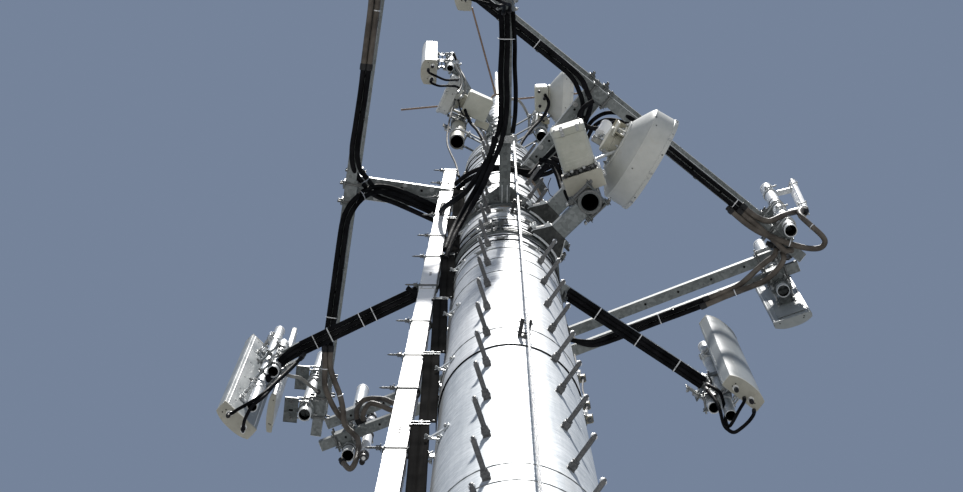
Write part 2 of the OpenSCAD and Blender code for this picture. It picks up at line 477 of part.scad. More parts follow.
module coax_jumpers() color([0.08,0.08,0.09]) {
  cable([[1448,765,18640],[1440,772,18560],[1404,812,18490],[1368,870,18455],[1345,905,18470],[1338,900,18600],[1348,872,18800],[1330,800,19000],[1270,800,19250]],24,k=2);
  cable([[1508,838,18640],[1500,850,18570],[1466,878,18500],[1415,912,18450],[1372,930,18420],[1338,918,18440],[1320,905,18560],[1308,845,18850],[1262,815,19200]],26,k=2);
  cable([[-1627,882,18600],[-1620,876,18530],[-1575,840,18490],[-1506,798,18480],[-1435,754,18520],[-1361,719,18800],[-1290,690,19150],[-1245,672,19340]],24,k=2);
  cable([[-1555,985,18600],[-1550,978,18520],[-1535,900,18460],[-1490,815,18450],[-1425,765,18500],[-1372,735,18780],[-1300,705,19120],[-1235,655,19345]],24,k=2);
  cable([[-232,-1610,18640],[-225,-1612,18550],[-180,-1600,18500],[-120,-1585,18500],[-60,-1570,18560],[-30,-1560,18800],[-20,-1530,19100],[-22,-1480,19340]],24,k=2);
  cable([[-228,-1720,18640],[-220,-1716,18560],[-170,-1690,18490],[-110,-1640,18480],[-50,-1600,18540],[-6,-1570,18780],[14,-1545,19060],[12,-1490,19345]],24,k=2);
}
module coax_frame() color([0.08,0.08,0.09]) {
  cable([[-394,64,21390],[-485,31,21460],[-708,-64,21462],[-859,-129,21420],[-924,-222,21250],[-978,-322,21140],[-989,-453,21122],[-961,-651,21122],[-936,-829,21124],[-918,-980,21122]],34,k=1);
  cable([[-416,97,21380],[-513,64,21462],[-727,-29,21462],[-885,-94,21425],[-958,-195,21256],[-1015,-303,21145],[-1028,-438,21122],[-1004,-616,21122],[-973,-834,21122],[-956,-983,21124]],34,k=1);
  cable([[-407,25,21370],[-503,-8,21430],[-714,-94,21440],[-841,-123,21380],[-923,-113,21270],[-969,-87,21160],[-1009,-40,21112],[-1052,53,21116],[-1075,201,21122],[-1120,559,21122],[-1169,930,21122]],34,k=1);
  cable([[-432,-14,21372],[-528,-49,21432],[-739,-134,21442],[-866,-160,21375],[-944,-144,21260],[-990,-114,21145],[-1034,-70,21112],[-1083,29,21116],[-1111,187,21122],[-1158,554,21122],[-1207,925,21122]],34,k=1);
  cable([[216,-250,21150],[270,-296,21290],[340,-355,21400],[478,-485,21480],[557,-602,21446],[590,-712,21330],[588,-791,21170],[562,-855,21112],[524,-936,21112],[434,-1024,21122],[192,-1217,21122],[-124,-1462,21124],[-477,-1741,21122]],36,k=1);
  cable([[179,-274,21130],[239,-327,21280],[313,-390,21392],[450,-516,21474],[517,-617,21440],[540,-708,21330],[534,-782,21170],[510,-852,21112],[467,-935,21114],[380,-1019,21122],[88,-1247,21122],[-228,-1492,21122],[-502,-1710,21122]],32,k=1);
  cable([[488,-431,21488],[549,-510,21482],[606,-618,21440],[697,-689,21330],[805,-698,21180],[912,-645,21122],[1042,-551,21122],[1371,-290,21122],[1640,-82,21122]],28,k=1);
  cable([[521,-418,21486],[576,-489,21478],[627,-589,21430],[707,-646,21310],[806,-646,21170],[913,-598,21122],[1051,-498,21122],[1349,-262,21122],[1616,-52,21122]],28,k=1);
  cable([[148,307,21240],[176,361,21370],[224,471,21468],[320,648,21470],[392,769,21380],[440,842,21230],[492,853,21112],[611,862,21104],[692,846,21118],[941,741,21122],[1219,630,21122],[1478,523,21120],[1617,465,21118]],34,k=1);
  cable([[108,321,21230],[137,376,21370],[181,488,21470],[248,676,21470],[275,827,21390],[267,927,21240],[231,993,21130],[141,1057,21122],[11,1110,21122],[-138,1168,21122],[-344,1245,21120],[-515,1303,21140]],34,k=1);
  cable([[188,293,21240],[217,355,21372],[267,464,21464],[367,645,21462],[442,782,21370],[491,854,21240],[546,872,21116],[648,885,21110],[788,844,21122],[1047,737,21122],[1326,628,21122],[1631,502,21118]],32,k=1);
}
module coax_trunk() color([0.08,0.08,0.09]) {
  cable([[-395,-150,20500],[-400,-175,19900],[-370,-255,19550],[-300,-340,19250],[-230,-410,19150],[-150,-520,19230],[-90,-620,19300],[-66,-720,19345]],34,k=1);
  cable([[-560,262,19372],[-518,285,19360],[-430,232,19335],[-363,187,19290],[-336,130,19150],[-332,60,18900],[-338,42,18600],[-346,40,18200]],32,k=1);
  cable([[-600,232,19368],[-540,258,19350],[-440,198,19300],[-378,152,19220],[-356,105,19060],[-352,72,18800],[-362,66,18500],[-366,62,18200]],32,k=1);
  cable([[-400,-60,20200],[-405,-30,20500],[-405,10,20900],[-402,44,21200],[-394,64,21390]],34,k=1);
  cable([[-440,-100,20250],[-446,-66,20500],[-442,-10,20900],[-434,60,21200],[-417,96,21380]],34,k=1);
  cable([[-300,-60,19800],[-330,-20,20400],[-330,0,21000],[-322,10,21600],[-300,20,22400],[-280,20,23100],[-240,10,23560],[-160,0,23760],[-128,-20,24000]],30,k=1);
  cable([[-290,-120,19800],[-315,-90,20400],[-318,-80,21000],[-305,-70,21600],[-288,-60,22400],[-270,-50,23100],[-225,-50,23560],[-150,-40,23790],[-122,-60,24050]],30,k=1);
  cable([[560,-900,19900],[500,-860,19880],[470,-800,19860],[520,-740,19850],[620,-730,19850],[700,-770,19850]],30,k=1);
  cable([[226,-519,19900],[289,-506,19850],[331,-447,19700],[358,-376,19500],[391,-326,19300],[424,-308,19150]],30,k=1);
}
module coax_top() color([0.08,0.08,0.09]) {
  cable([[-290,-323,25400],[-246,-253,25100],[-179,-228,24600],[-118,-150,24200],[-108,-80,23960]],26,k=1);
  cable([[367,-465,25330],[398,-395,25250],[345,-310,24980],[253,-255,24600],[165,-180,24200],[118,-80,23950]],26,k=1);
}
module conduits() color([0.30,0.27,0.24]) {
  cable([[-1205,930,21112],[-1203,1060,21108],[-1203,1188,21108],[-1166,1292,21110],[-1120,1383,21135],[-1078,1450,21200],[-1052,1510,21262],[-1046,1552,21300]],42,k=2);
  cable([[-1165,930,21112],[-1168,1048,21110],[-1140,1150,21110],[-1100,1256,21112],[-1078,1360,21115],[-1063,1462,21100],[-969,1545,21000],[-971,1631,20750],[-1009,1682,20700],[-1061,1656,20790]],42,k=2);
  cable([[-975,1478,21262],[-990,1440,21270],[-990,1396,21300],[-960,1351,21370],[-904,1329,21370],[-796,1316,21280],[-717,1330,21190],[-640,1330,21150]],40,k=2);
  cable([[-940,1482,21262],[-944,1440,21250],[-937,1389,21230],[-900,1345,21270],[-829,1348,21230],[-728,1370,21150],[-650,1360,21130]],40,k=2);
  cable([[2104,-12,21490],[2060,-30,21380],[2045,-10,21260],[2100,40,21170],[2180,110,21112],[2200,155,21098],[2165,192,21092],[2080,194,21090],[1960,165,21095],[1850,125,21102],[1757,92,21110],[1660,32,21116],[1560,-50,21120]],42,k=2);
  cable([[1640,-82,21122],[1728,-15,21118],[1817,17,21135],[1908,-10,21200],[1990,-18,21320],[2080,-20,21420]],42,k=2);
  cable([[1616,-52,21122],[1741,49,21116],[1847,140,21112],[1929,214,21112],[1975,215,21140],[1985,262,21230],[1975,290,21330]],42,k=2);
  cable([[1379,604,21100],[1500,548,21092],[1616,494,21085],[1700,464,21080],[1797,418,21080],[1880,345,21100],[1925,275,21130],[1905,215,21180],[1850,190,21200]],42,k=2);
  cable([[1400,556,21110],[1520,505,21105],[1616,462,21112],[1680,410,21112],[1742,350,21116],[1800,300,21120],[1858,255,21130],[1880,205,21160]],42,k=2);
  cable([[-914,-998,21120],[-888,-1206,21118],[-861,-1425,21118],[-847,-1624,21114],[-865,-1778,21105],[-900,-1850,21110],[-985,-1880,21180],[-1030,-1830,21300],[-1020,-1780,21420]],42,k=2);
  cable([[-955,-1001,21120],[-930,-1212,21118],[-905,-1430,21118],[-897,-1611,21116],[-921,-1735,21110],[-950,-1800,21130],[-1000,-1790,21240],[-1000,-1740,21380]],42,k=2);
}
module ground_blocks() color([0.50,0.46,0.42]) for (z=[13850,14150,14800]) at(-10, pr(z), z-17) {
  translate([-6,-17,0]) cube([40,34,34]);
  translate([22,0,34]) cylinder(h=12,d=18,$fn=6);
  translate([22,0,-14]) cylinder(h=14,d=13,$fn=16);
}

base_flange();
pole_lower();
pole_upper();
pole_extension();
whip_antenna();
whip_radials();
step_pegs_left();
step_pegs_right();
climb_cable();
climb_brackets();
duct_outer();
duct_covers();
duct_brackets();
duct_clamps();
pole_straps();
star_collar();
star_arm_front();
star_arm_right();
star_arm_left();
mast_pipes_star();
panel_front();
panel_right();
panel_left();
panel_brackets();
frame_collar();
frame_arm_a();
frame_arm_b();
frame_arm_c();
rail_a_low();
rail_a_high();
rail_b_low();
rail_b_high();
rail_c_low();
rail_c_high();
mast_pipes_frame();
frame_clamps();
frame_panels();
slim_antennas();
antenna_brackets();
dish_large();
dish_large_mount();
dish_large_radio();
dish_small();
dish_small_mount();
dish_rear();
dish_rear_mount();
sector_small();
coax_star();
coax_jumpers();
coax_frame();
coax_trunk();
coax_top();
conduits();
ground_blocks();
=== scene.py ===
import bpy, math, random
from mathutils import Vector, Matrix


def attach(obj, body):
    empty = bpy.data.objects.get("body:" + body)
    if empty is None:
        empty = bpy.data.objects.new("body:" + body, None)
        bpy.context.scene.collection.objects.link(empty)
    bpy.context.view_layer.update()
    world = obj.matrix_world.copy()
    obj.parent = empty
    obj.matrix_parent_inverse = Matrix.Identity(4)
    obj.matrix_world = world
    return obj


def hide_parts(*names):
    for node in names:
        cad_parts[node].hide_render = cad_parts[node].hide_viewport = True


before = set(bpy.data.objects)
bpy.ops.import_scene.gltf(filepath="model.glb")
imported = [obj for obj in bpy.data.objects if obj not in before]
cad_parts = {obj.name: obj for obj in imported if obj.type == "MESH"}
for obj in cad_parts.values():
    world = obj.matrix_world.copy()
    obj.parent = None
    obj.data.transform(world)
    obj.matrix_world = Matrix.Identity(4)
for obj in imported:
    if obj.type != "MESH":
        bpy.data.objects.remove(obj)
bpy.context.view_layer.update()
MM = 0.001
V = Vector
X, Y, Z = V((1, 0, 0)), V((0, 1, 0)), V((0, 0, 1))
rng = random.Random(7)

# ------------------------------------------------------------------ the object's measures, in mm
BASE_D, TAPER, SLIP_Z, MAIN_Z = 834.0, 6.9, 14200.0, 23600.0
def pr(z):
    return BASE_D/2 - TAPER*z/1000 + (0 if z < SLIP_Z else 6.8)
def pol(a, r, z):
    return V((r*math.cos(math.radians(a)), r*math.sin(math.radians(a)), z))
def mix(p, q, z):
    p, q = V(p), V(q); return p + (q-p)*(z-p.z)/(q.z-p.z)
STAR_Z, RAIL_Z, HIGH_Z, ARM_Z = 19430.0, 21180.0, 21940.0, 21560.0
EXT1, EXT2 = 28300.0, 29950.0
NRM = [187.5, 308.1, 68.3]
FACE_R, RAIL_W = 1055.0, 72.0
ENDS = [[1703, 1765], [1703, 1787], [1766, 1748]]
def fpos(k, r, s, z):
    n = math.radians(NRM[k]); return V((r*math.cos(n)-s*math.sin(n), r*math.sin(n)+s*math.cos(n), z))
def adir(a):
    return V((math.cos(math.radians(a)), math.sin(math.radians(a)), 0))
def dx(z):
    return -(518 - 10*(z-13000)/1000)
def flat(p, a, b, th, h, mat, up=None, ch=1.0):
    """flat bar from a to b, th thick, h high"""
    a, b = V(a), V(b); ax = (b-a).normalized(); s = (up or Z).cross(ax).normalized(); p.box((a+b)/2, (b-a).length, th, h, mat, (ax, s, ax.cross(s)), ch)

# ------------------------------------------------------------------ mesh building
def basis(d, ref=None):
    """three unit axes, the last along d"""
    d = V(d).normalized()
    r = V(ref) if ref is not None else (Z if abs(d.z) < 0.9 else X)
    a = r - d*r.dot(d)
    if a.length < 1e-6: a = (Y - d*Y.dot(d))
    a.normalize()
    return a, d.cross(a), d

def cr(a, b, c, d, t):
    return 0.5*((2*b)+(c-a)*t+(2*a-5*b+4*c-d)*t*t+(3*b-a-3*c+d)*t*t*t)

def spline(pts, step):
    """points about step apart along a smooth curve through pts"""
    p = [V(q) for q in pts]
    if len(p) == 2:
        n = max(1, int((p[1]-p[0]).length/step)); return [p[0].lerp(p[1], i/n) for i in range(n+1)]
    out = []
    for i in range(len(p)-1):
        a, b, c, d = p[max(i-1, 0)], p[i], p[i+1], p[min(i+2, len(p)-1)]
        n = max(2, int(math.ceil((c-b).length/step)))
        out += [cr(a, b, c, d, j/n) for j in range(n)]
    return out+[p[-1]]

class Piece:
    """gathers mesh parts in mm, each with a material, and makes one object of them in metres"""
    def __init__(self, name, slot, replaces=()):
        self.name, self.slot, self.rep = name, slot, replaces
        self.v, self.f, self.mi, self.uv, self.mats = [], [], [], [], []
    def _m(self, mat):
        if mat not in self.mats: self.mats.append(mat)
        return self.mats.index(mat)
    def add(self, verts, faces, mat, uvs=None):
        o, m = len(self.v), self._m(mat)
        self.v += [(v[0]*MM, v[1]*MM, v[2]*MM) for v in verts]
        for i, f in enumerate(faces):
            self.f.append([k+o for k in f]); self.mi.append(m)
            self.uv.append(uvs[i] if uvs else [(0.0, 0.0)]*len(f))
    # rings of equal length joined into a skin
    def loft(self, rings, mat, cap0=True, cap1=True, closed=True, us=None):
        n = len(rings[0]); vs = [p for r in rings for p in r]; fs = []; uv = []
        if us is None:
            us = [0.0]
            for i in range(1, len(rings)): us.append(us[-1] + (V(rings[i][0])-V(rings[i-1][0])).length*MM)
        m = n if closed else n-1
        for i in range(len(rings)-1):
            for j in range(m):
                k = (j+1) % n
                fs.append([i*n+j, i*n+k, (i+1)*n+k, (i+1)*n+j])
                uv.append([(us[i], j/n), (us[i], (j+1)/n), (us[i+1], (j+1)/n), (us[i+1], j/n)])
        if cap0: fs.append([n-1-j for j in range(n)]); uv.append([(us[0], 0.5)]*n)
        if cap1: fs.append([(len(rings)-1)*n+j for j in range(n)]); uv.append([(us[-1], 0.5)]*n)
        self.add(vs, fs, mat, uv)
    def lathe(self, p, d, prof, mat, n=24, phase=0.0, cap0=True, cap1=True, ref=None):
        """prof: [(along, radius)] from the point p along d"""
        a, b, c = basis(d, ref); p = V(p); rings = []
        for h, r in prof:
            r = max(r, 0.01)
            rings.append([p+c*h+a*(r*math.cos(2*math.pi*(j+phase)/n))+b*(r*math.sin(2*math.pi*(j+phase)/n)) for j in range(n)])
        self.loft(rings, mat, cap0, cap1)
    def rod(self, p, q, d, mat, n=16, ch=1.2):
        p, q = V(p), V(q); L = (q-p).length; r = d/2; ch = min(ch, r*0.4, L*0.4)
        self.lathe(p, q-p, [(0, r-ch), (ch, r), (L-ch, r), (L, r-ch)], mat, n)
    def pipe(self, p, q, d, t, mat, n=32, inner=None):
        """open tube with wall t; from 24 mm inside the p end, the bore and a disc that closes it further in take the
        inner material, given as near-black painted shade
        """
        p, q = V(p), V(q); L = (q-p).length; r = d/2
        self.lathe(p, q-p, [(24.0, r-t), (1.0, r-t), (0, r-t+0.8), (0, r-0.8), (1.0, r), (L-1, r), (L, r-0.8), (L, r-t+0.8), (L-1, r-t)], mat, n, cap0=False, cap1=False)
        self.lathe(p, q-p, [(min(900, L*0.6), r-t), (24.0, r-t)], inner or mat, n, cap0=False, cap1=False)
        self.lathe(p+(q-p).normalized()*min(880, L*0.58), q-p, [(0, r-t+0.5), (3, r-t+0.5)], inner or mat, n)
    def tube(self, pts, d, mat, n=12, step=26, caps=True, raw=False):
        c = [V(p) for p in pts] if raw else spline(pts, step)
        m = len(c); tg = [(c[min(i+1, m-1)]-c[max(i-1, 0)]).normalized() for i in range(m)]
        a, b, _ = basis(tg[0]); rings = []; us = [0.0]
        for i in range(m):
            if i:
                ax = tg[i-1].cross(tg[i])
                if ax.length > 1e-7: a = Matrix.Rotation(tg[i-1].angle(tg[i]), 3, ax.normalized()) @ a
                a = (a - tg[i]*a.dot(tg[i])).normalized(); us.append(us[-1]+(c[i]-c[i-1]).length*MM)
            b = tg[i].cross(a)
            rr = d(us[i]) if callable(d) else d
            rings.append([c[i]+a*(rr/2*math.cos(2*math.pi*j/n))+b*(rr/2*math.sin(2*math.pi*j/n)) for j in range(n)])
        self.loft(rings, mat, caps, caps, us=us)
        return c
    def box(self, c, sx, sy, sz, mat, ax=(X, Y, Z), ch=1.5):
        """chamfered box, centre c, sizes along the axes ax"""
        c = V(c); u, v, w = [V(q).normalized() for q in ax]; hx, hy, hz = sx/2, sy/2, sz/2
        ch = min(ch, hx*0.45, hy*0.45, hz*0.45)
        vs = []; idx = {}
        for i in (-1, 1):
            for j in (-1, 1):
                for k in (-1, 1):
                    for t in range(3):
                        q = [i*(hx-ch), j*(hy-ch), k*(hz-ch)]
                        q[t] = (i, j, k)[t]*(hx, hy, hz)[t]
                        idx[(i, j, k, t)] = len(vs); vs.append(c+u*q[0]+v*q[1]+w*q[2])
        fs = []
        def face(t, s):
            o = [(-1, -1), (1, -1), (1, 1), (-1, 1)]; r = []
            for p_, q_ in o:
                key = [0, 0, 0]; key[t] = s; key[(t+1) % 3] = p_; key[(t+2) % 3] = q_
                r.append(idx[(key[0], key[1], key[2], t)])
            return r if s > 0 else r[::-1]
        for t in range(3):
            for s in (-1, 1): fs.append(face(t, s))
        for t in range(3):
            a_, b_ = (t+1) % 3, (t+2) % 3
            for s1 in (-1, 1):
                for s2 in (-1, 1):
                    def key(st, tt):
                        k = [0, 0, 0]; k[t] = st; k[a_] = s1; k[b_] = s2; return idx[(k[0], k[1], k[2], tt)]
                    q = [key(-1, a_), key(1, a_), key(1, b_), key(-1, b_)]
                    fs.append(q if s1*s2 < 0 else q[::-1])
        for i in (-1, 1):
            for j in (-1, 1):
                for k in (-1, 1):
                    q = [idx[(i, j, k, 0)], idx[(i, j, k, 1)], idx[(i, j, k, 2)]]
                    fs.append(q if i*j*k > 0 else q[::-1])
        self.add(vs, fs, mat)
    def prism(self, poly, h, mat, org, ax, ch=1.0):
        """polygon (counter-clockwise) in ax[0], ax[1], thickness h along ax[2], edges eased"""
        u, v, w = [V(q) for q in ax]; org = V(org); n = len(poly)
        cx = sum(p[0] for p in poly)/n; cy = sum(p[1] for p in poly)/n
        def ring(z, s):
            out = []
            for x_, y_ in poly:
                dx_, dy_ = x_-cx, y_-cy; L = math.hypot(dx_, dy_) or 1
                out.append(org+u*(x_-dx_/L*s)+v*(y_-dy_/L*s)+w*z)
            return out
        ch = min(ch, h*0.3)
        self.loft([ring(0, ch), ring(ch, 0), ring(h-ch, 0), ring(h, ch)], mat)
    def bolt(self, p, d, af, mat, h=None, washer=True, stub=0.0, phase=0.0):
        """hexagon head or nut with washer at p, pointing along d; stub is thread past it"""
        h = h or af*0.62; p = V(p); dn = V(d).normalized(); o = 0.0
        if washer:
            self.lathe(p, dn, [(0, af*0.92), (af*0.1, af*0.95), (af*0.14, af*0.9)], mat, 16, cap0=False); o = af*0.13
        R = af/2/math.cos(math.pi/6)
        self.lathe(p+dn*o, dn, [(0, R*0.96), (h*0.1, R), (h*0.86, R), (h, R*0.86)], mat, 6, phase, cap0=False)
        if stub > 0:
            r = af*0.31
            self.lathe(p+dn*(o+h*0.9), dn, [(0, r), (stub-1.2, r), (stub, r*0.75)], mat, 10, cap0=False)
    def stud(self, p, q, d, mat, nuts=(), af=None):
        """threaded rod from p to q, nuts at distances from p (sign gives the side the nut is on)"""
        p, q = V(p), V(q); self.rod(p, q, d, mat, 10, 1.5); dn = (q-p).normalized(); af = af or d*1.6
        for s in nuts:
            dd = dn if s > 0 else -dn
            self.bolt(p+dn*abs(s), dd, af, mat, h=d*0.85, phase=rng.random())
    def ubolt(self, c, axis, d, R, leg, rod, mat, plate=None, n=10):
        """U-bolt: bend round c (pipe axis), legs of length leg pointing along d, nuts outside plate"""
        axis = V(axis).normalized(); d = (V(d)-axis*V(d).dot(axis)).normalized(); s = axis.cross(d); c = V(c)
        pts = [c+s*R+d*leg] + [c+s*R+d*leg*0.5, c+s*R+d*1.0]
        pts += [c+s*(R*math.cos(t))-d*(R*math.sin(t)) for t in [math.pi*i/12 for i in range(1, 12)]]
        pts += [c-s*R+d*1.0, c-s*R+d*leg*0.5, c-s*R+d*leg]
        self.tube(pts, rod, mat, n, step=9)
        if plate is not None:
            for k in (-1, 1):
                self.bolt(c+s*(R*k)+d*plate, d, rod*1.62, mat, h=rod*0.85, phase=rng.random())
                if leg-plate > rod*2.6: self.bolt(c+s*(R*k)+d*(plate+rod*1.05), d, rod*1.62, mat, h=rod*0.7, washer=False, phase=rng.random())
    def done(self, smooth=32):
        me = bpy.data.meshes.new(self.name); me.from_pydata(self.v, [], self.f); 
        for m in self.mats: me.materials.append(m)
        me.polygons.foreach_set("material_index", self.mi)
        uvl = me.uv_layers.new(name="along")
        uvl.data.foreach_set("uv", [c for f in self.uv for q in f for c in q])
        me.polygons.foreach_set("use_smooth", [True]*len(me.polygons))
        me.update(); me.set_sharp_from_angle(angle=math.radians(smooth))
        ob = bpy.data.objects.new(self.name, me); bpy.context.scene.collection.objects.link(ob)
        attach(ob, "root")
        if self.rep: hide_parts(*self.rep)
        return ob

# ------------------------------------------------------------------ materials, all from nodes in the object's own coordinates
class Mat:
    def __init__(self, name, rough=0.5, metal=0.0, spec=0.5, coat=None):
        self.m = bpy.data.materials.new(name); self.m.use_nodes = True
        self.t = self.m.node_tree; self.b = self.t.nodes["Principled BSDF"]
        self.b.inputs["Roughness"].default_value = rough
        self.b.inputs["Metallic"].default_value = metal
        self.b.inputs["Specular IOR Level"].default_value = spec
        if coat: self.b.inputs["Coat Weight"].default_value = coat; self.b.inputs["Coat Roughness"].default_value = 0.25
        self.tc = self.t.nodes.new("ShaderNodeTexCoord")
    def n(self, kind, **kw):
        nd = self.t.nodes.new(kind)
        for k, v in kw.items(): setattr(nd, k, v)
        return nd
    def link(self, a, b): self.t.links.new(a, b)
    def coord(self, scale=(1, 1, 1), rot=(0, 0, 0), uv=False):
        mp = self.n("ShaderNodeMapping"); mp.inputs["Scale"].default_value = scale; mp.inputs["Rotation"].default_value = rot
        self.link(self.tc.outputs["UV" if uv else "Object"], mp.inputs["Vector"]); return mp.outputs["Vector"]
    def noise(self, scale, stretch=(1, 1, 1), rot=(0, 0, 0), detail=4, rough=0.55, dist=0.0, uv=False):
        nd = self.n("ShaderNodeTexNoise"); nd.inputs["Scale"].default_value = scale
        nd.inputs["Detail"].default_value = detail; nd.inputs["Roughness"].default_value = rough; nd.inputs["Distortion"].default_value = dist
        self.link(self.coord(stretch, rot, uv), nd.inputs["Vector"]); return nd.outputs["Fac"]
    def cells(self, scale, stretch=(1, 1, 1), rot=(0, 0, 0), out="Color"):
        nd = self.n("ShaderNodeTexVoronoi"); nd.inputs["Scale"].default_value = scale
        self.link(self.coord(stretch, rot), nd.inputs["Vector"])
        if out == "Color":
            s = self.n("ShaderNodeSeparateColor"); self.link(nd.outputs["Color"], s.inputs["Color"]); return s.outputs["Red"]
        return nd.outputs[out]
    def wave(self, scale, stretch=(1, 1, 1), rot=(0, 0, 0), dist=0.0, axis="X", uv=False, profile="SIN"):
        nd = self.n("ShaderNodeTexWave", bands_direction=axis, wave_profile=profile); nd.inputs["Scale"].default_value = scale
        nd.inputs["Distortion"].default_value = dist; nd.inputs["Detail"].default_value = 2
        self.link(self.coord(stretch, rot, uv), nd.inputs["Vector"]); return nd.outputs["Fac"]
    def ramp(self, fac, stops):
        r = self.n("ShaderNodeValToRGB"); e = r.color_ramp.elements
        while len(e) < len(stops): e.new(0.5)
        for i, (p, c) in enumerate(stops):
            e[i].position = p; e[i].color = (c[0], c[1], c[2], 1) if hasattr(c, "__len__") else (c, c, c, 1)
        self.link(fac, r.inputs["Fac"]); return r.outputs["Color"]
    def span(self, fac, a, b, lo=0.0, hi=1.0):
        r = self.n("ShaderNodeMapRange"); r.inputs["From Min"].default_value = a; r.inputs["From Max"].default_value = b
        r.inputs["To Min"].default_value = lo; r.inputs["To Max"].default_value = hi
        self.link(fac, r.inputs["Value"]); return r.outputs["Result"]
    def mix(self, fac, a, b, mode="MIX"):
        m = self.n("ShaderNodeMix", data_type="RGBA", blend_type=mode)
        for val, key in ((fac, 0), (a, 6), (b, 7)):
            if hasattr(val, "links"): self.link(val, m.inputs[key])
            elif key == 0: m.inputs[0].default_value = val
            else: m.inputs[key].default_value = (val[0], val[1], val[2], 1)
        return m.outputs[2]
    def math(self, op, a, b=0.0):
        m = self.n("ShaderNodeMath", operation=op)
        for i, v in enumerate((a, b)):
            if hasattr(v, "links"): self.link(v, m.inputs[i])
            else: m.inputs[i].default_value = v
        return m.outputs[0]
    def facing(self, axis="Z"):
        g = self.n("ShaderNodeNewGeometry"); s = self.n("ShaderNodeSeparateXYZ"); self.link(g.outputs["Normal"], s.inputs[0]); return s.outputs[axis]
    def bump(self, h, strength=0.3, dist=0.001, prev=None):
        b = self.n("ShaderNodeBump"); b.inputs["Strength"].default_value = strength; b.inputs["Distance"].default_value = dist
        self.link(h, b.inputs["Height"])
        if prev: self.link(prev, b.inputs["Normal"])
        self.link(b.outputs["Normal"], self.b.inputs["Normal"]); return b.outputs["Normal"]
    def color(self, c): self.link(c, self.b.inputs["Base Color"])
    def roughness(self, r): self.link(r, self.b.inputs["Roughness"])

def galv(name, lo, hi, metal=0.35, rough=(0.34, 0.55), spangle=55, streak=(0.5, 0.5, 4.0), rot=(0, 0, 0), dirt=(0.16, 0.15, 0.13), dirt_amt=0.35, bump=0.12):
    """galvanised steel: spangle, streaks, dulled patches and some dirt"""
    m = Mat(name, metal=metal)
    big = m.noise(2.3, detail=3); str_ = m.noise(3.2, streak, rot, detail=6, rough=0.6); sp = m.cells(spangle); fine = m.noise(160, detail=2)
    f = m.math("ADD", m.math("MULTIPLY", big, 0.30), m.math("MULTIPLY", str_, 0.42)); f = m.math("ADD", f, m.math("MULTIPLY", sp, 0.20)); f = m.math("ADD", f, m.math("MULTIPLY", fine, 0.10))
    c = m.ramp(f, [(0.34, lo), (0.50, [(a+b)/2 for a, b in zip(lo, hi)]), (0.66, hi)])
    d = m.noise(7, (1, 1, 0.35), detail=8, rough=0.7)
    c = m.mix(m.span(d, 0.60, 0.80, 0.0, dirt_amt), c, dirt)
    m.color(c); m.roughness(m.span(m.math("ADD", m.math("MULTIPLY", str_, 0.6), m.math("MULTIPLY", sp, 0.4)), 0.3, 0.7, rough[1], rough[0]))
    m.bump(m.math("ADD", m.math("MULTIPLY", sp, 0.4), fine), bump, 0.0006)
    return m.m

def painted(name, lo, hi, rough=0.42, dirt=(0.22, 0.20, 0.17), dirt_amt=0.45, drip=(6, 6, 0.7), spec=0.5, metal=0.0, bump=0.10, chip=0.0, under=0.0):
    """painted or moulded surface: slight mottling, fine texture, rain streaks, dust"""
    m = Mat(name, rough=rough, metal=metal, spec=spec)
    a = m.noise(4.5, detail=4); st = m.noise(3.0, drip, detail=6, rough=0.65); fine = m.noise(420, detail=1)
    c = m.ramp(m.math("ADD", m.math("MULTIPLY", a, 0.6), m.math("MULTIPLY", st, 0.4)), [(0.33, lo), (0.62, hi)])
    c = m.mix(m.span(st, 0.56, 0.82, 0.0, dirt_amt), c, dirt)
    if under:
        c = m.mix(m.math("MULTIPLY", m.span(m.facing(), 0.2, 0.9), under), c, dirt)
    if chip:
        k = m.noise(26, detail=8, rough=0.75); c = m.mix(m.span(k, 0.68-0.04*chip, 0.70), c, (0.30, 0.30, 0.29))
    m.color(c); m.roughness(m.span(m.math("ADD", a, m.math("MULTIPLY", fine, 0.3)), 0.4, 0.9, rough*0.85, min(1.0, rough*1.3)))
    m.bump(m.math("ADD", m.math("MULTIPLY", a, 0.5), fine), bump, 0.0004)
    return m.m

def jacket(name, lo, hi, dust, pitch=0.0, rough=0.42, dusty=0.55, spec=0.22):
    """cable jacket: near-black plastic with rings, scuffs, and dust on what faces up"""
    m = Mat(name, rough=rough, spec=spec)
    a = m.noise(9, detail=5); sc = m.noise(60, detail=6, rough=0.7)
    c = m.ramp(a, [(0.35, lo), (0.65, hi)])
    top = m.math("MULTIPLY", m.span(m.facing(), -0.1, 0.9), m.span(a, 0.25, 0.75, 0.5, 1.0))
    c = m.mix(m.math("MULTIPLY", top, dusty), c, dust); c = m.mix(m.span(sc, 0.62, 0.78, 0.0, 0.35), c, dust)
    m.color(c); m.roughness(m.span(sc, 0.3, 0.7, rough*0.8, rough*1.5))
    nrm = None
    if pitch:
        w = m.wave(1.0/pitch*0.159*2, uv=True); nrm = m.bump(w, 0.6, 0.0012)
    m.bump(sc, 0.15, 0.0005, nrm)
    return m.m

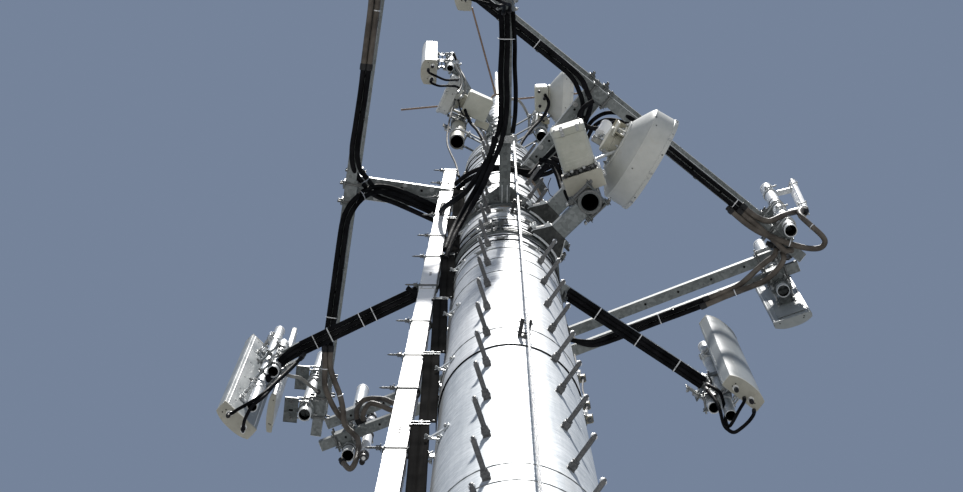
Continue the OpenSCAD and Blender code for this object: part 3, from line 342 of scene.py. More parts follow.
# pole: bright, with long faint streaks round it and down it, spangle, dull patches and darker seams
def pole_mat(name, lo, hi, warm):
    m = Mat(name, metal=0.28)
    st1 = m.noise(2.2, (0.6, 0.6, 9.0), (math.radians(14), math.radians(-20), 0), detail=7, rough=0.62)
    st2 = m.noise(5.0, (7, 7, 0.35), detail=5, rough=0.6)
    big = m.noise(1.1, (1, 1, 0.8), detail=4); sp = m.cells(38); fine = m.noise(220, detail=2)
    f = m.math("ADD", m.math("MULTIPLY", st1, 0.40), m.math("MULTIPLY", st2, 0.22)); f = m.math("ADD", f, m.math("MULTIPLY", big, 0.26)); f = m.math("ADD", f, m.math("MULTIPLY", sp, 0.12))
    c = m.ramp(f, [(0.36, lo), (0.50, [(a+b)/2 for a, b in zip(lo, hi)]), (0.60, hi)])
    scr = m.noise(3.0, (0.5, 0.5, 60), (math.radians(20), math.radians(-26), 0), detail=3, rough=0.5, dist=0.4)
    c = m.mix(m.span(scr, 0.66, 0.72, 0.0, 0.55), c, (0.20, 0.21, 0.22))
    scr2 = m.noise(2.4, (0.45, 0.45, 44), (math.radians(-6), math.radians(9), 0), detail=2, rough=0.5, dist=0.3)
    c = m.mix(m.span(scr2, 0.68, 0.73, 0.0, 0.45), c, (0.24, 0.25, 0.26))
    w = m.noise(2.0, (2, 2, 0.5), detail=6, rough=0.7); c = m.mix(m.span(w, 0.58, 0.82, 0.0, 0.35), c, warm)
    m.color(c)
    m.roughness(m.span(m.math("ADD", m.math("MULTIPLY", st1, 0.5), m.math("MULTIPLY", sp, 0.5)), 0.3, 0.75, 0.62, 0.48))
    b1 = m.bump(m.noise(1.6, (1, 1, 2.2), detail=2), 0.12, 0.006)
    m.bump(m.math("ADD", m.math("MULTIPLY", sp, 0.5), fine), 0.14, 0.0005, b1)
    return m.m

POLE = pole_mat("pole_galvanised", (0.32, 0.365, 0.405), (0.70, 0.735, 0.755), (0.42, 0.38, 0.32))
POLE_TOP = pole_mat("pole_galvanised_top", (0.44, 0.47, 0.50), (0.80, 0.82, 0.83), (0.42, 0.38, 0.32))
GALV = galv("galvanised_grey", (0.115, 0.13, 0.13), (0.25, 0.27, 0.27), rough=(0.38, 0.58))
# bright galvanised; also used as painted highlight along edges and on sides that face the light
GALV_BRIGHT_AND_HIGHLIGHT = galv("galvanised_bright_and_painted_highlight", (0.48, 0.51, 0.53), (0.78, 0.80, 0.80), metal=0.4, rough=(0.30, 0.48), spangle=70, dirt_amt=0.3)
# dark galvanised; on some brackets also used as painted shade where they sit in shadow
GALV_DARK_AND_SHADE = galv("galvanised_dark_and_painted_shade", (0.06, 0.07, 0.07), (0.155, 0.17, 0.17), rough=(0.42, 0.62), spangle=60)
STEEL = galv("bolt_steel", (0.30, 0.31, 0.31), (0.55, 0.56, 0.55), metal=0.6, rough=(0.28, 0.5), spangle=240, dirt=(0.20, 0.13, 0.08), dirt_amt=0.5)
STEEL_D = galv("bolt_steel_dark", (0.08, 0.085, 0.085), (0.20, 0.205, 0.20), metal=0.5, rough=(0.35, 0.55), spangle=240, dirt=(0.16, 0.10, 0.06), dirt_amt=0.5)
CAST = galv("casting_dark", (0.020, 0.022, 0.022), (0.060, 0.064, 0.062), metal=0.3, rough=(0.5, 0.7), spangle=60)
PEG = galv("peg_steel", (0.075, 0.077, 0.08), (0.19, 0.19, 0.19), metal=0.3, rough=(0.42, 0.6), spangle=160)
# near-white: painted highlight on the peg tips, and painted glints on a few nuts and bolts
WHITE_HIGHLIGHT = painted("white_painted_highlight", (0.74, 0.76, 0.77), (0.90, 0.91, 0.91), rough=0.35, metal=0.25)
BAND = galv("stainless_band", (0.42, 0.44, 0.45), (0.66, 0.68, 0.69), metal=0.75, rough=(0.22, 0.36), spangle=300, streak=(2, 2, 30), dirt_amt=0.35)
BAND_D = galv("dull_band", (0.16, 0.17, 0.165), (0.32, 0.33, 0.32), metal=0.45, rough=(0.36, 0.52), spangle=200, streak=(2, 2, 30))
TIE = painted("tie_silver", (0.62, 0.64, 0.66), (0.84, 0.85, 0.86), rough=0.28, metal=0.7, dirt_amt=0.15)
DUCT = painted("duct_white", (0.76, 0.77, 0.78), (0.90, 0.91, 0.91), rough=0.34, dirt=(0.42, 0.41, 0.38), dirt_amt=0.4, drip=(9, 9, 0.35))
COVER = painted("duct_cover_dark", (0.008, 0.008, 0.008), (0.020, 0.0195, 0.019), rough=0.95, dirt=(0.040, 0.037, 0.033), dirt_amt=0.5, drip=(8, 8, 0.3), spec=0.0)
RADOME = painted("radome_grey", (0.20, 0.225, 0.23), (0.30, 0.325, 0.33), rough=0.36, dirt=(0.14, 0.145, 0.14), dirt_amt=0.5, drip=(7, 7, 0.4))
# near-white radome; also used for the bright ribs on grey panel backs, which are painted highlight lines
RADOME_WHITE_AND_HIGHLIGHT = painted("radome_white", (0.56, 0.58, 0.58), (0.74, 0.755, 0.75), rough=0.38, dirt=(0.40, 0.39, 0.34), dirt_amt=0.4)
CAPB = painted("endcap_beige", (0.30, 0.30, 0.255), (0.43, 0.42, 0.36), rough=0.55, dirt=(0.20, 0.18, 0.14), dirt_amt=0.6)
DISH = painted("dish_cream_grey", (0.46, 0.475, 0.45), (0.60, 0.61, 0.585), rough=0.42, dirt=(0.36, 0.33, 0.26), dirt_amt=0.5, drip=(5, 5, 0.6))
FABRIC = painted("dish_front_cover", (0.62, 0.635, 0.62), (0.74, 0.75, 0.735), rough=0.6, dirt=(0.40, 0.38, 0.33), dirt_amt=0.35)
RADIO = painted("radio_beige", (0.38, 0.39, 0.33), (0.54, 0.545, 0.48), rough=0.45, dirt=(0.34, 0.30, 0.20), dirt_amt=0.6, drip=(7, 7, 0.5))
RADIO_L = painted("radio_lid_pale", (0.68, 0.70, 0.68), (0.84, 0.85, 0.83), rough=0.40, dirt=(0.42, 0.40, 0.34), dirt_amt=0.4)
CREAM = painted("bracket_cream", (0.36, 0.35, 0.29), (0.52, 0.51, 0.43), rough=0.5, dirt=(0.30, 0.26, 0.18), dirt_amt=0.6)
TAN = painted("plate_tan", (0.32, 0.30, 0.22), (0.46, 0.43, 0.33), rough=0.48, dirt=(0.26, 0.22, 0.15), dirt_amt=0.6)
WHITE = painted("white_cap", (0.80, 0.81, 0.82), (0.92, 0.925, 0.93), rough=0.30, dirt=(0.45, 0.44, 0.40), dirt_amt=0.3)
FIBRE = painted("whip_fibreglass", (0.78, 0.79, 0.78), (0.90, 0.905, 0.90), rough=0.36, dirt=(0.5, 0.48, 0.42), dirt_amt=0.3, drip=(20, 20, 0.3))
BROWN = galv("weathered_brown", (0.13, 0.085, 0.06), (0.26, 0.18, 0.13), metal=0.15, rough=(0.6, 0.8), spangle=120, dirt=(0.30, 0.16, 0.08), dirt_amt=0.6, bump=0.3)
RUSTY = galv("rust_stained", (0.20, 0.15, 0.11), (0.36, 0.30, 0.25), metal=0.2, rough=(0.5, 0.75), spangle=120, dirt=(0.34, 0.17, 0.08), dirt_amt=0.8, bump=0.3)
BLACK = jacket("coax_black", (0.004, 0.0042, 0.005), (0.011, 0.0115, 0.013), (0.026, 0.026, 0.026), rough=0.55, dusty=0.2, spec=0.025)
BLACK_R = jacket("coax_corrugated", (0.005, 0.0052, 0.006), (0.014, 0.014, 0.016), (0.030, 0.029, 0.028), pitch=0.008, rough=0.55, dusty=0.22, spec=0.025)
# brown-grey corrugated jacket: the same black cables as on the rails, coloured as painted sunlight where they run in
# the sun
CONDUIT_SUNLIT = jacket("conduit_painted_sunlit", (0.070, 0.060, 0.051), (0.155, 0.135, 0.114), (0.34, 0.31, 0.27), pitch=0.0075, rough=0.42, dusty=0.75)
GREYD = jacket("jumper_dull", (0.055, 0.056, 0.054), (0.11, 0.11, 0.105), (0.14, 0.14, 0.13), rough=0.6, dusty=0.3, spec=0.1)
GREYJ = jacket("jumper_grey", (0.16, 0.16, 0.15), (0.30, 0.30, 0.28), (0.42, 0.41, 0.38), rough=0.42, dusty=0.5)
TAPE = jacket("tape_black", (0.010, 0.010, 0.011), (0.030, 0.030, 0.031), (0.10, 0.095, 0.09), rough=0.5, dusty=0.3)
PLASTIC = painted("plastic_black", (0.012, 0.012, 0.013), (0.035, 0.035, 0.036), rough=0.45, dirt=(0.12, 0.11, 0.10), dirt_amt=0.4)
# near-black painted shade: inside pipes, in holes, slots and open ends, and as the shadow line at the slip joint
SHADE_BLACK = painted("painted_shade_black", (0.006, 0.006, 0.006), (0.018, 0.018, 0.018), rough=0.95, dirt=(0.03, 0.03, 0.03), spec=0.0)
CONN = galv("connector_metal", (0.50, 0.51, 0.50), (0.76, 0.76, 0.74), metal=0.85, rough=(0.2, 0.36), spangle=300, dirt_amt=0.3)
def rope_mat():
    m = Mat("wire_rope", metal=0.6); w = m.n("ShaderNodeTexWave", bands_direction="DIAGONAL"); w.inputs["Scale"].default_value = 26; w.inputs["Distortion"].default_value = 0.2
    m.link(m.coord((1.0, 1.0, 1.0), uv=True), w.inputs["Vector"]); n_ = m.noise(14, detail=5)
    c = m.mix(m.span(w.outputs["Fac"], 0.2, 0.8), (0.24, 0.25, 0.25), (0.72, 0.73, 0.73)); c = m.mix(m.span(n_, 0.55, 0.75, 0, 0.5), c, (0.34, 0.31, 0.27))
    m.color(c); m.roughness(m.span(n_, 0.3, 0.7, 0.3, 0.5)); m.bump(w.outputs["Fac"], 0.6, 0.001); return m.m
ROPE = rope_mat()
def cad(node, mat):
    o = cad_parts[node]; o.data.materials.clear(); o.data.materials.append(mat); return o

# ------------------------------------------------------------------ pole, base and bands
cad("pole_lower", POLE); cad("pole_upper", POLE_TOP); cad("pole_extension", GALV_BRIGHT_AND_HIGHLIGHT); cad("base_flange", POLE)
cad("star_collar", GALV_DARK_AND_SHADE); cad("frame_collar", GALV_DARK_AND_SHADE)
p = Piece("anchor_nuts", "galv_pole")
for i in range(12):
    q = pol(i*30, 520, 0)
    for z, s in ((0, 1),):
        p.lathe(q+Z*50, Z, [(0, 44), (7, 45), (8.5, 43)], STEEL, 20)
        p.bolt(q+Z*58, Z, 60, STEEL, h=38, washer=False, phase=rng.random())
        p.bolt(q+Z*97, Z, 60, STEEL, h=24, washer=False, phase=rng.random())
    p.rod(q+Z*2, q+Z*196, 38, STEEL, 18, 3)
    for k in range(24): p.lathe(q+Z*(124+k*3), Z, [(0, 19.0), (1.1, 20.2), (2.2, 19.0)], STEEL, 14, cap0=False, cap1=False)
    p.lathe(q+Z*194, Z, [(0, 19), (2, 18), (5, 10), (6, 0.5)], STEEL, 14)
p.done()
# weld beads: foot, gussets, lengthwise seam, base plate; at the slip joint edge a near-black bead, a painted shadow
# line under the step
p = Piece("pole_welds", "galv_pole")
def bead(z, r, d, mat=POLE, n=96, wob=0.6, ph=0.0):
    c = [pol(360*j/n, r+wob*math.sin(j*2.3+ph), z+wob*math.sin(j*1.7+ph)) for j in range(n)]
    rings = []
    for j in range(n+1):
        q = c[j % n]; o = V((q.x, q.y, 0)).normalized()
        rings.append([q+o*(d/2*math.cos(2*math.pi*k/8))+Z*(d/2*math.sin(2*math.pi*k/8)) for k in range(8)])
    p.loft(rings, mat, False, False)
bead(52, pr(52)+2, 16); bead(58, pr(58)+1, 9)
# slip joint: near-black bead painted as the shadow under the upper section's edge
bead(SLIP_Z-2.2, pr(SLIP_Z-5)+3.4, 6.4, SHADE_BLACK)
for z in (7150, 4300): bead(z, pr(z)+0.2, 5.5, POLE, ph=z)
for z in (17010, 16510, 14655, 11670, 11386): bead(z, pr(z)+0.6, 5.0, BAND_D, ph=z)
for a, z0, z1, m in ((118, 60, SLIP_Z-10, POLE), (112, SLIP_Z+10, MAIN_Z-5, POLE_TOP)):
    n = 160; p.tube([pol(a, pr(z0+(z1-z0)*i/n)+0.6+0.5*math.sin(i*2.1), z0+(z1-z0)*i/n) for i in range(n+1)], 6.5, m, 6, raw=True)
for i in range(12):
    a = 360/12*(i+0.5)
    for s in (-9, 9):
        t = V((-math.sin(math.radians(a)), math.cos(math.radians(a)), 0))*s
        p.tube([pol(a, pr(60)+4, 168)+t, pol(a, pr(60)+4, 110)+t, pol(a, pr(60)+6, 56)+t, pol(a, pr(60)+50, 54)+t, pol(a, pr(60)+98, 54)+t], 7, POLE, 6, step=30)
p.done()
# hand hole with its cover, and an earthing lug, near the foot on the far side
p = Piece("hand_hole_cover", "galv_pole")
az_ = 90
for k, (w, h, t0, t1) in enumerate(((190, 420, -4, 12), (160, 390, 12, 17))):
    rings = []
    for tt, sc in ((t0, 1.0), (t1-1.5, 1.0), (t1, 0.985)):
        ring = []
        for j in range(40):
            t = 2*math.pi*j/40; e = 5.0
            x_ = w/2*sc*math.copysign(abs(math.cos(t))**(2/e), math.cos(t)); z_ = h/2*sc*math.copysign(abs(math.sin(t))**(2/e), math.sin(t))
            rr = pr(900+z_); ang = az_+math.degrees(x_/rr); ring.append(pol(ang, rr+tt, 900+z_))
        rings.append(ring)
    p.loft(rings, GALV_BRIGHT_AND_HIGHLIGHT if k else POLE)
for sx in (-55, 55):
    for sz in (-165, 165):
        ang = az_+math.degrees(sx/pr(900)); p.bolt(pol(ang, pr(900+sz)+16.5, 900+sz), adir(ang), 17, STEEL)
p.box(pol(60, pr(350)+12, 350), 30, 50, 70, GALV_BRIGHT_AND_HIGHLIGHT, (adir(60), adir(150), Z)); p.bolt(pol(60, pr(350)+27, 362), adir(60), 17, STEEL, stub=9); p.bolt(pol(60, pr(350)+27, 335), adir(60), 17, STEEL, stub=9)
p.done()

# strapping round the pole: bands with folded ends, buckles, bolts
STRAPS = [[17400,14,7],[17640,14,8],[17740,16,9],[18050,130,26],[18370,16,6],[18500,16,6],[18790,24,8],[19060,14,7],
  [20150,24,8],[20420,14,7],[20750,24,9],[22300,16,7],[22480,24,8],[22820,16,7],[23000,24,9],[23220,16,7],[23380,20,8]]
p = Piece("pole_bands", "galv_dark", ("pole_straps",))
def band(z, h, t, mat, n=120, tilt=0.0, ph=0.0, ch=1.2):
    rings = []
    prof = [(0, 0.3), (0, t-ch), (ch, t), (h-ch, t), (h, t-ch), (h, 0.3)]
    for j in range(n+1):
        a = 360*j/n; rings.append([pol(a, pr(z+zz)+rr+0.35*math.sin(math.radians(a*3+ph)), z+zz+tilt*math.sin(math.radians(a+ph))) for zz, rr in prof])
    p.loft(rings, mat, False, False)
for i, (z, h, t) in enumerate(STRAPS):
    if h > 100:
        band(z, h, 12, GALV_DARK_AND_SHADE)
        for zz in (z+26, z+h-26): band(zz-9, 18, 16, GALV_DARK_AND_SHADE)
        for a in (-100, 20, 140):
            for s in (-1, 1): p.box(pol(a+s*4.2, pr(z)+38, z+h/2), 60, 11, h, GALV_DARK_AND_SHADE, (adir(a), adir(a+90), Z))
            for zz in (24, h/2, h-24):
                c = pol(a, pr(z)+48, z+zz); d = adir(a+90); p.stud(c-d*72, c+d*72, 16, STEEL_D, (30, -114), 25)
        continue
    band(z, h, min(t, 4.0), BAND if i % 3 else BAND_D, tilt=(0, 5, -4, 3)[i % 4], ph=i*77)
    a = (-118, -62, -96, -84, -128)[i % 5]; d = adir(a+90)
    c = pol(a, pr(z)+9, z+h/2); p.box(c, 14, 46, h+10, BAND_D, (adir(a), d, Z), 2)
    p.rod(c-d*34+adir(a)*6, c+d*40+adir(a)*6, 8, STEEL, 10); p.bolt(c+d*34+adir(a)*6, d, 13, STEEL, phase=i*.3)
    p.box(c+d*30+adir(a)*1, 5, 34, h-2, BAND, (adir(a+6), d, Z), 1)
# thin cable loops that circle the pole
for z, d, amp, ph, m in ((17712, 9, 10, 0, TAPE), (17905, 8, 14, 60, TAPE), (18330, 8, 18, 200, TAPE), (18640, 9, 22, 120, TAPE), (20010, 8, 20, 20, TAPE), (20620, 9, 16, 170, TAPE), (22700, 9, 12, 40, TAPE), (23110, 8, 10, 260, TAPE)):
    n = 64; p.tube([pol(360*j/n, pr(z)+d*0.7+2+2*math.sin(j*.9), z+amp*math.sin(2*math.pi*j/n+ph)+3*math.sin(j*1.3)) for j in range(n+1)], d, m, 8, raw=True, caps=False)
p.done()

# top plate's bolts, and the extension's clamps
p = Piece("extension_details", "galv_bright")
for a in range(0, 360, 30):
    q = pol(a+15, pr(MAIN_Z)-22, MAIN_Z+16); p.bolt(q, Z, 32, STEEL, stub=16)
p.lathe(V((0, 0, MAIN_Z-6)), Z, [(0, pr(MAIN_Z)+1), (3, pr(MAIN_Z)+5), (7, pr(MAIN_Z)+3)], POLE_TOP, 72, cap0=False, cap1=False)
for a in range(0, 360, 45): p.bolt(pol(a, 96, EXT1+14), Z, 22, STEEL, h=12, stub=6)
p.lathe(V((0, 0, EXT1-10)), Z, [(0, 109.6), (4, 112), (10, 114.4)], GALV_DARK_AND_SHADE, 40, cap0=False, cap1=False)
p.lathe(V((0, 0, EXT1+14)), Z, [(0, 84), (6, 79), (12, 75.4)], GALV_BRIGHT_AND_HIGHLIGHT, 40, cap0=False, cap1=False)
p.lathe(V((0, 0, EXT1+654)), Z, [(-2, 75.4), (0, 73), (14, 60), (18, 57.4)], GALV_BRIGHT_AND_HIGHLIGHT, 40, cap0=False, cap1=False)
for z in (EXT1+90, EXT1+330, EXT1+560):
    p.lathe(V((0, 0, z)), Z, [(0, 75.4), (1, 79), (26, 79), (27, 75.4)], BAND_D, 44, cap0=False, cap1=False); p.lathe(V((0, 0, z+30)), Z, [(0, 75.4), (1, 77), (12, 77), (13, 75.4)], BAND, 44, cap0=False, cap1=False)
# straps, hooks and thin turns of wire packed round the wide extension
for i, z in enumerate((23760, 23960, 24120, 24230, 24560, 24890, 25000, 25370, 25640, 25990, 26130, 26560, 26900, 27120, 27480, 27800, 28060)):
    m_ = (BAND_D, TAPE, BAND_D, BAND)[i % 4]; w_ = (26, 9, 16, 20)[i % 4]; tl = (0, 14, -10, 6)[i % 4]
    rings = [[pol(360*j/48, 109.5+rr, z+dz*w_+tl*math.sin(math.radians(360*j/48+i*50))) for rr, dz in ((0, 0), (3.4+i % 3, 0.06), (3.4+i % 3, 0.94), (0, 1))] for j in range(49)]
    p.loft(rings, m_, False, False)
    for s in (0, 180):
        d = adir(-60+i*37+s); q = d*117+Z*(z+w_/2); p.box(q, 14, 26, w_+8, (GALV, STEEL_D)[i % 2], (d, Z.cross(d), Z), 1.5); p.bolt(q+d*6, d, 13, STEEL, stub=10, phase=i*.3)
for z in (24350, 25150, 26300):
    p.lathe(V((0, 0, z)), Z, [(0, 109.6), (1, 114), (46, 114), (47, 109.6)], BAND_D, 48, cap0=False, cap1=False)
    for s in (0, 180):
        c = pol(40+s, 124, z+23); d = adir(130+s); p.box(c, 26, 8, 46, GALV, (adir(40+s), d, Z)); p.box(c+d*24, 26, 8, 46, GALV, (adir(40+s), d, Z)); p.stud(c-d*22, c+d*50, 13, STEEL, (16, -58))
for z in (29120, 29420, 29700):
    p.lathe(V((0, 0, z)), Z, [(0, 57.4), (1, 60), (20, 60), (21, 57.4)], BAND, 40, cap0=False, cap1=False)
p.done()
# whip antenna and its radials
p = Piece("whip_detail", "whip_white", ("whip_antenna",))
z0 = EXT2
p.lathe(V((0, 0, z0-4)), Z, [(0, 50), (4, 52), (20, 52), (26, 46), (60, 33), (66, 30)], CONN, 32)
p.lathe(V((0, 0, z0+60)), Z, [(0, 26), (3, 29), (90, 29), (94, 24.2), (2180, 24), (2202, 24), (2210, 28), (2236, 29), (2240, 31), (2296, 31), (2300, 26), (2308, 19.2), (2400, 18.9), (3200, 18.2), (3276, 17.5), (3292, 13), (3299, 6), (3300, 0.5)], FIBRE, 32)
p.lathe(V((0, 0, z0+2262)), Z, [(0, 29.2), (4, 31), (40, 31), (44, 29.2)], CONN, 32)
p.done()
p = Piece("radials_detail", "rust_brown", ("whip_radials",))
zr = EXT2-40
p.lathe(V((0, 0, zr-30)), Z, [(0, 57.5), (0, 70), (3, 74), (57, 74), (60, 70), (60, 57.5)], RUSTY, 40, cap0=False, cap1=False)
for a in (174, 254, 354, 74):
    d = adir(a); sg = V((0, 0, 1)); pts = [d*(70+875*i/12)+Z*(zr-3.0*(i/12)**2*4) for i in range(13)]
    p.tube(pts, 18, BROWN, 12, step=60); p.rod(d*70+Z*zr, d*128+Z*zr, 26, RUSTY, 14); p.bolt(d*128+Z*zr, d, 27, RUSTY, h=14, washer=False)
    p.lathe(d*940+Z*(zr-12), d, [(0, 9), (2, 11), (9, 11), (12, 6)], RUSTY, 12)
    p.bolt(d*96+Z*(zr+13), Z, 11, STEEL_D)
p.done()

# ------------------------------------------------------------------ step pegs: clip, bar, upturned tip whose end is near-white, a painted highlight of the sunlit tip
def pegs(name, az, zs, slot, node):
    global p
    p = Piece(name, slot, (node,))
    for i, z in enumerate(zs):
        r = pr(z)+(16.5 if abs(z-STAR_Z-85) < 42 else 0); d = adir(az); t = adir(az+90); o = V((0, 0, z)); w = rng.uniform(-1, 1)
        # clip: small block on a pad, the bar held by a nut through it
        p.box(o+d*(r+2.0), 5, 33, 39, PEG, (d, t, Z), 1.5)
        p.box(o+d*(r+17), 27, 31, 33, PEG, (d, t, Z), 2.5)
        p.lathe(o+d*(r+30)+t*0, d, [(0, 15), (2, 16), (9, 16), (11, 14)], PEG, 6, phase=0.2*w)
        for s_ in (-1, 1): p.bolt(o+d*(r+17)+t*(15*s_), t*s_, 9, PEG, h=3, washer=False, phase=w)
        # bar with a little droop and the upturned end
        q = [o+d*(r+28), o+d*(r+70)+Z*(-0.5), o+d*(r+118)-Z*1.0, o+d*(r+134)-Z*0.3, o+d*(r+144)+Z*2.5, o+d*(r+149)+Z*9, o+d*(r+150)+Z*18]
        p.tube(q, 20.5, PEG, 12, step=12)
        for k in range(7): p.lathe(o+d*(r+66+k*8.5), d, [(0, 10.0), (1.2, 10.9), (2.8, 10.9), (4, 10.0)], PEG, 12, cap0=False, cap1=False)
        # near-white tip block and cap: painted highlight
        p.box(o+d*(r+147)+Z*11, 15, 25, 24, WHITE_HIGHLIGHT, (d, t, Z), 3.0)
        p.lathe(o+d*(r+147)+Z*20, Z, [(0, 9), (2, 10.5), (7, 10.5), (9, 8)], WHITE_HIGHLIGHT, 14)
    p.done()
pegs("pegs_left", -109.2, [15285-k*762 for k in range(-10, 16)], "peg_steel", "step_pegs_left")
pegs("pegs_right", -55.0, [15666-k*762+(39 if k == -5 else 0) for k in range(-9, 16) if k not in (-4, -3)], "peg_steel", "step_pegs_right")

# ------------------------------------------------------------------ safety rope
p = Piece("safety_rope", "wire_rope", ("climb_cable",))
q0, q1 = pol(-84.9, pr(1500)+92, 1500), pol(-75.6, pr(22900)+86, 22900)
def rope_at(z): return q0.lerp(q1, (z-1500)/21400)
n = 420
for k in range(5):
    pts = []
    for i in range(n+1):
        c = q0.lerp(q1, i/n); a = 2*math.pi*(i/7.0+k/5); pts.append(c+X*(4.0*math.cos(a))+Y*(4.0*math.sin(a)))
    p.tube(pts, 6.8, ROPE, 5, raw=True)
p.done()
p = Piece("safety_rope_fittings", "galv_bright", ("climb_brackets",))
for z in (1500, 22900):
    c = rope_at(z); d = V((c.x, c.y, 0)).normalized(); t = Z.cross(d); co = V((c.x, c.y, 0)).length-pr(z)
    o = V((0, 0, z)); r = pr(z)
    p.box(o+d*(r+6), 10, 80, 180, GALV_BRIGHT_AND_HIGHLIGHT, (d, t, Z), 2); p.prism([(0, -84), (co-22, -52), (co-22, 30), (0, 84)], 10, GALV_BRIGHT_AND_HIGHLIGHT, o+d*(r+10)-t*5, (d, Z, d.cross(Z)))
    for sz in (-66, 66):
        for st in (-26, 26): p.bolt(o+d*(r+11)+t*st+Z*sz, d, 19, STEEL, stub=8)
    p.lathe(c-Z*70, Z, [(0, 9.5), (0, 17), (3, 19), (137, 19), (140, 17), (140, 9.5)], GALV_BRIGHT_AND_HIGHLIGHT, 22); p.bolt(c-Z*72, -Z, 32, STEEL, h=20, stub=30); p.bolt(c+Z*72, Z, 32, STEEL, h=20)
for z in (5200, 9800, 14400, 19000):
    c = rope_at(z); d = V((c.x, c.y, 0)).normalized(); t = Z.cross(d); o = V((0, 0, z)); r = pr(z)
    p.box(o+d*(r+4)-t*3, 8, 56, 50, STEEL_D, (d, t, Z), 1.5)
    p.box(o+d*(r+44)-t*21, 84, 17, 49, PLASTIC, (d, t, Z), 2.5); p.box(o+d*(r+45)+t*17.5, 84, 10.5, 49, PLASTIC, (d, t, Z), 2)
    for x_ in (20, 66): p.stud(o+d*(r+x_)-t*36, o+d*(r+x_)+t*30, 8, STEEL_D, (6, -60), 13)
    p.bolt(o+d*(r+8)+t*2+Z*14, d, 12, STEEL_D); p.bolt(o+d*(r+8)+t*2-Z*14, d, 12, STEEL_D)
p.done()
# nuts and cut rod ends on the pole's front, rust run under the front arm's root
p = Piece("pole_front_nuts", "galv_dark")
# two of the nuts take the near-white material as painted glints
for a_, z_, m_ in ((-114, 18850, STEEL), (-111, 18760, STEEL), (-108, 18600, WHITE_HIGHLIGHT), (-106, 18640, STEEL), (-102, 18450, WHITE_HIGHLIGHT), (-100, 18300, STEEL)):
    p.bolt(pol(a_, pr(z_)+1, z_), adir(a_), 19, m_, stub=7, phase=z_*.01)
    p.box(pol(a_+2.5, pr(z_)+3, z_-22), 5, 34, 12, STEEL_D, (adir(a_), adir(a_+90), Z), 1)
for k in range(9): p.box(pol(-94.5+k*1.15, pr(19306)+2.5, 19306), 5, 6.6, 9, RUSTY, (adir(-94.5+k*1.15), adir(-4.5+k*1.15), Z), 1)
p.done()

# ------------------------------------------------------------------ cable duct
cad("duct_outer", DUCT); cad("duct_covers", COVER); cad("duct_brackets", GALV_BRIGHT_AND_HIGHLIGHT)
p = Piece("duct_seams", "duct_white")
sh = V((0.010, 0, 1)).normalized()
for i in range(14):
    z0 = 2600+i*1450; z1 = min(z0+1450, 22900); x0 = dx(z0)
    # joint sleeve edge, and under it a thin dark steel strip as the painted shade of the gap
    for (zz, h, m, o) in ((z0+4, 7, STEEL_D, 0.7), (z0+14, 70, DUCT, 1.6)):
        xx = x0+0.010*(zz-z0)
        for c, sx, sy in ((V((xx-o/2, -77.5, zz+h/2)), o, 75+2*o), (V((xx+90+o/2, -77.5, zz+h/2)), o, 75+2*o), (V((xx+45, -115-o/2, zz+h/2)), 90, o), (V((xx+45, -40+o/2, zz+h/2)), 90, o)):
            p.box(c, sx, sy, h, m, ch=0.3)
    for dz in (30, 66):
        for fx in (14, 76): p.lathe(V((x0+fx, -116.4, z0+dz)), -Y, [(0, 6), (1, 6), (3.2, 4.2), (4.2, 1)], STEEL, 12)
    # half-length scribed seam; fixing holes as near-black discs, painted shade
    zz = z0+720; xx = x0+7.2; p.box(V((xx+45, -115.4, zz)), 89, 0.9, 3.5, STEEL_D, ch=0.2)
    for k in range(4):
        if i % 3 == 1: p.lathe(V((xx+46, -115.1, zz-120-k*34)), -Y, [(0, 8), (0.4, 8)], SHADE_BLACK, 14)
    # folded lips that run the length, both sides
    L = z1-z0
    for fx in (3.0, 87.0):
        a = V((x0+fx, -116.2, z0+90)); b = V((x0+fx+0.010*(L-10), -116.2, z1-4)); p.tube([a, b], 3.4, DUCT, 6, step=400)
p.done()
p = Piece("duct_cover_details", "duct_dark")
for i in range(13):
    z1 = 21650-i*1650; z0 = z1-1640
    if z0 <= 900: continue
    def cv(fx, fy, z): return V((dx(z1)+92+0.008*(z1-z)+fx, -128+fy, z))
    for fx in (2, 73): p.tube([cv(fx, -1, z0+6), cv(fx, -1, z1-4)], 4.5, COVER, 6, step=500)
    for fx in (33.8, 41.2): p.tube([cv(fx, -0.5, z0+6), cv(fx, -0.5, z1-66)], 3.0, COVER, 6, step=500)
    # cap band at the top: dark between two pale edges, a bolt in its middle whose near-white head is a painted glint
    p.box(cv(37.5, -2.2, z1-31), 79, 4.4, 62, COVER, ch=1.2); p.box(cv(-1.6, 14, z1-31), 3, 34, 62, COVER, ch=1)
    for dz, h in ((3.5, 5), (59, 4)): p.box(cv(37.5, -4.6, z1-dz), 80, 2.4, h, GALV_BRIGHT_AND_HIGHLIGHT, ch=0.6); p.box(cv(-3.2, 13, z1-dz), 2.4, 36, h, GALV_BRIGHT_AND_HIGHLIGHT, ch=0.6)
    p.lathe(cv(37, -4, z1-31), -Y, [(0, 8), (1.5, 8.6), (3, 8), (3.4, 6), (7, 6), (8, 4)], WHITE_HIGHLIGHT, 12)
    p.box(cv(-3, -2, z1-74), 16, 12, 24, PLASTIC, ch=3)
    for fx in (12, 62): p.lathe(cv(fx, -0.5, z0+24), -Y, [(0, 6.5), (2, 6), (3.6, 3)], STEEL_D, 10)
p.done()
p = Piece("duct_hook_bolts", "galv_dark", ("duct_clamps",))
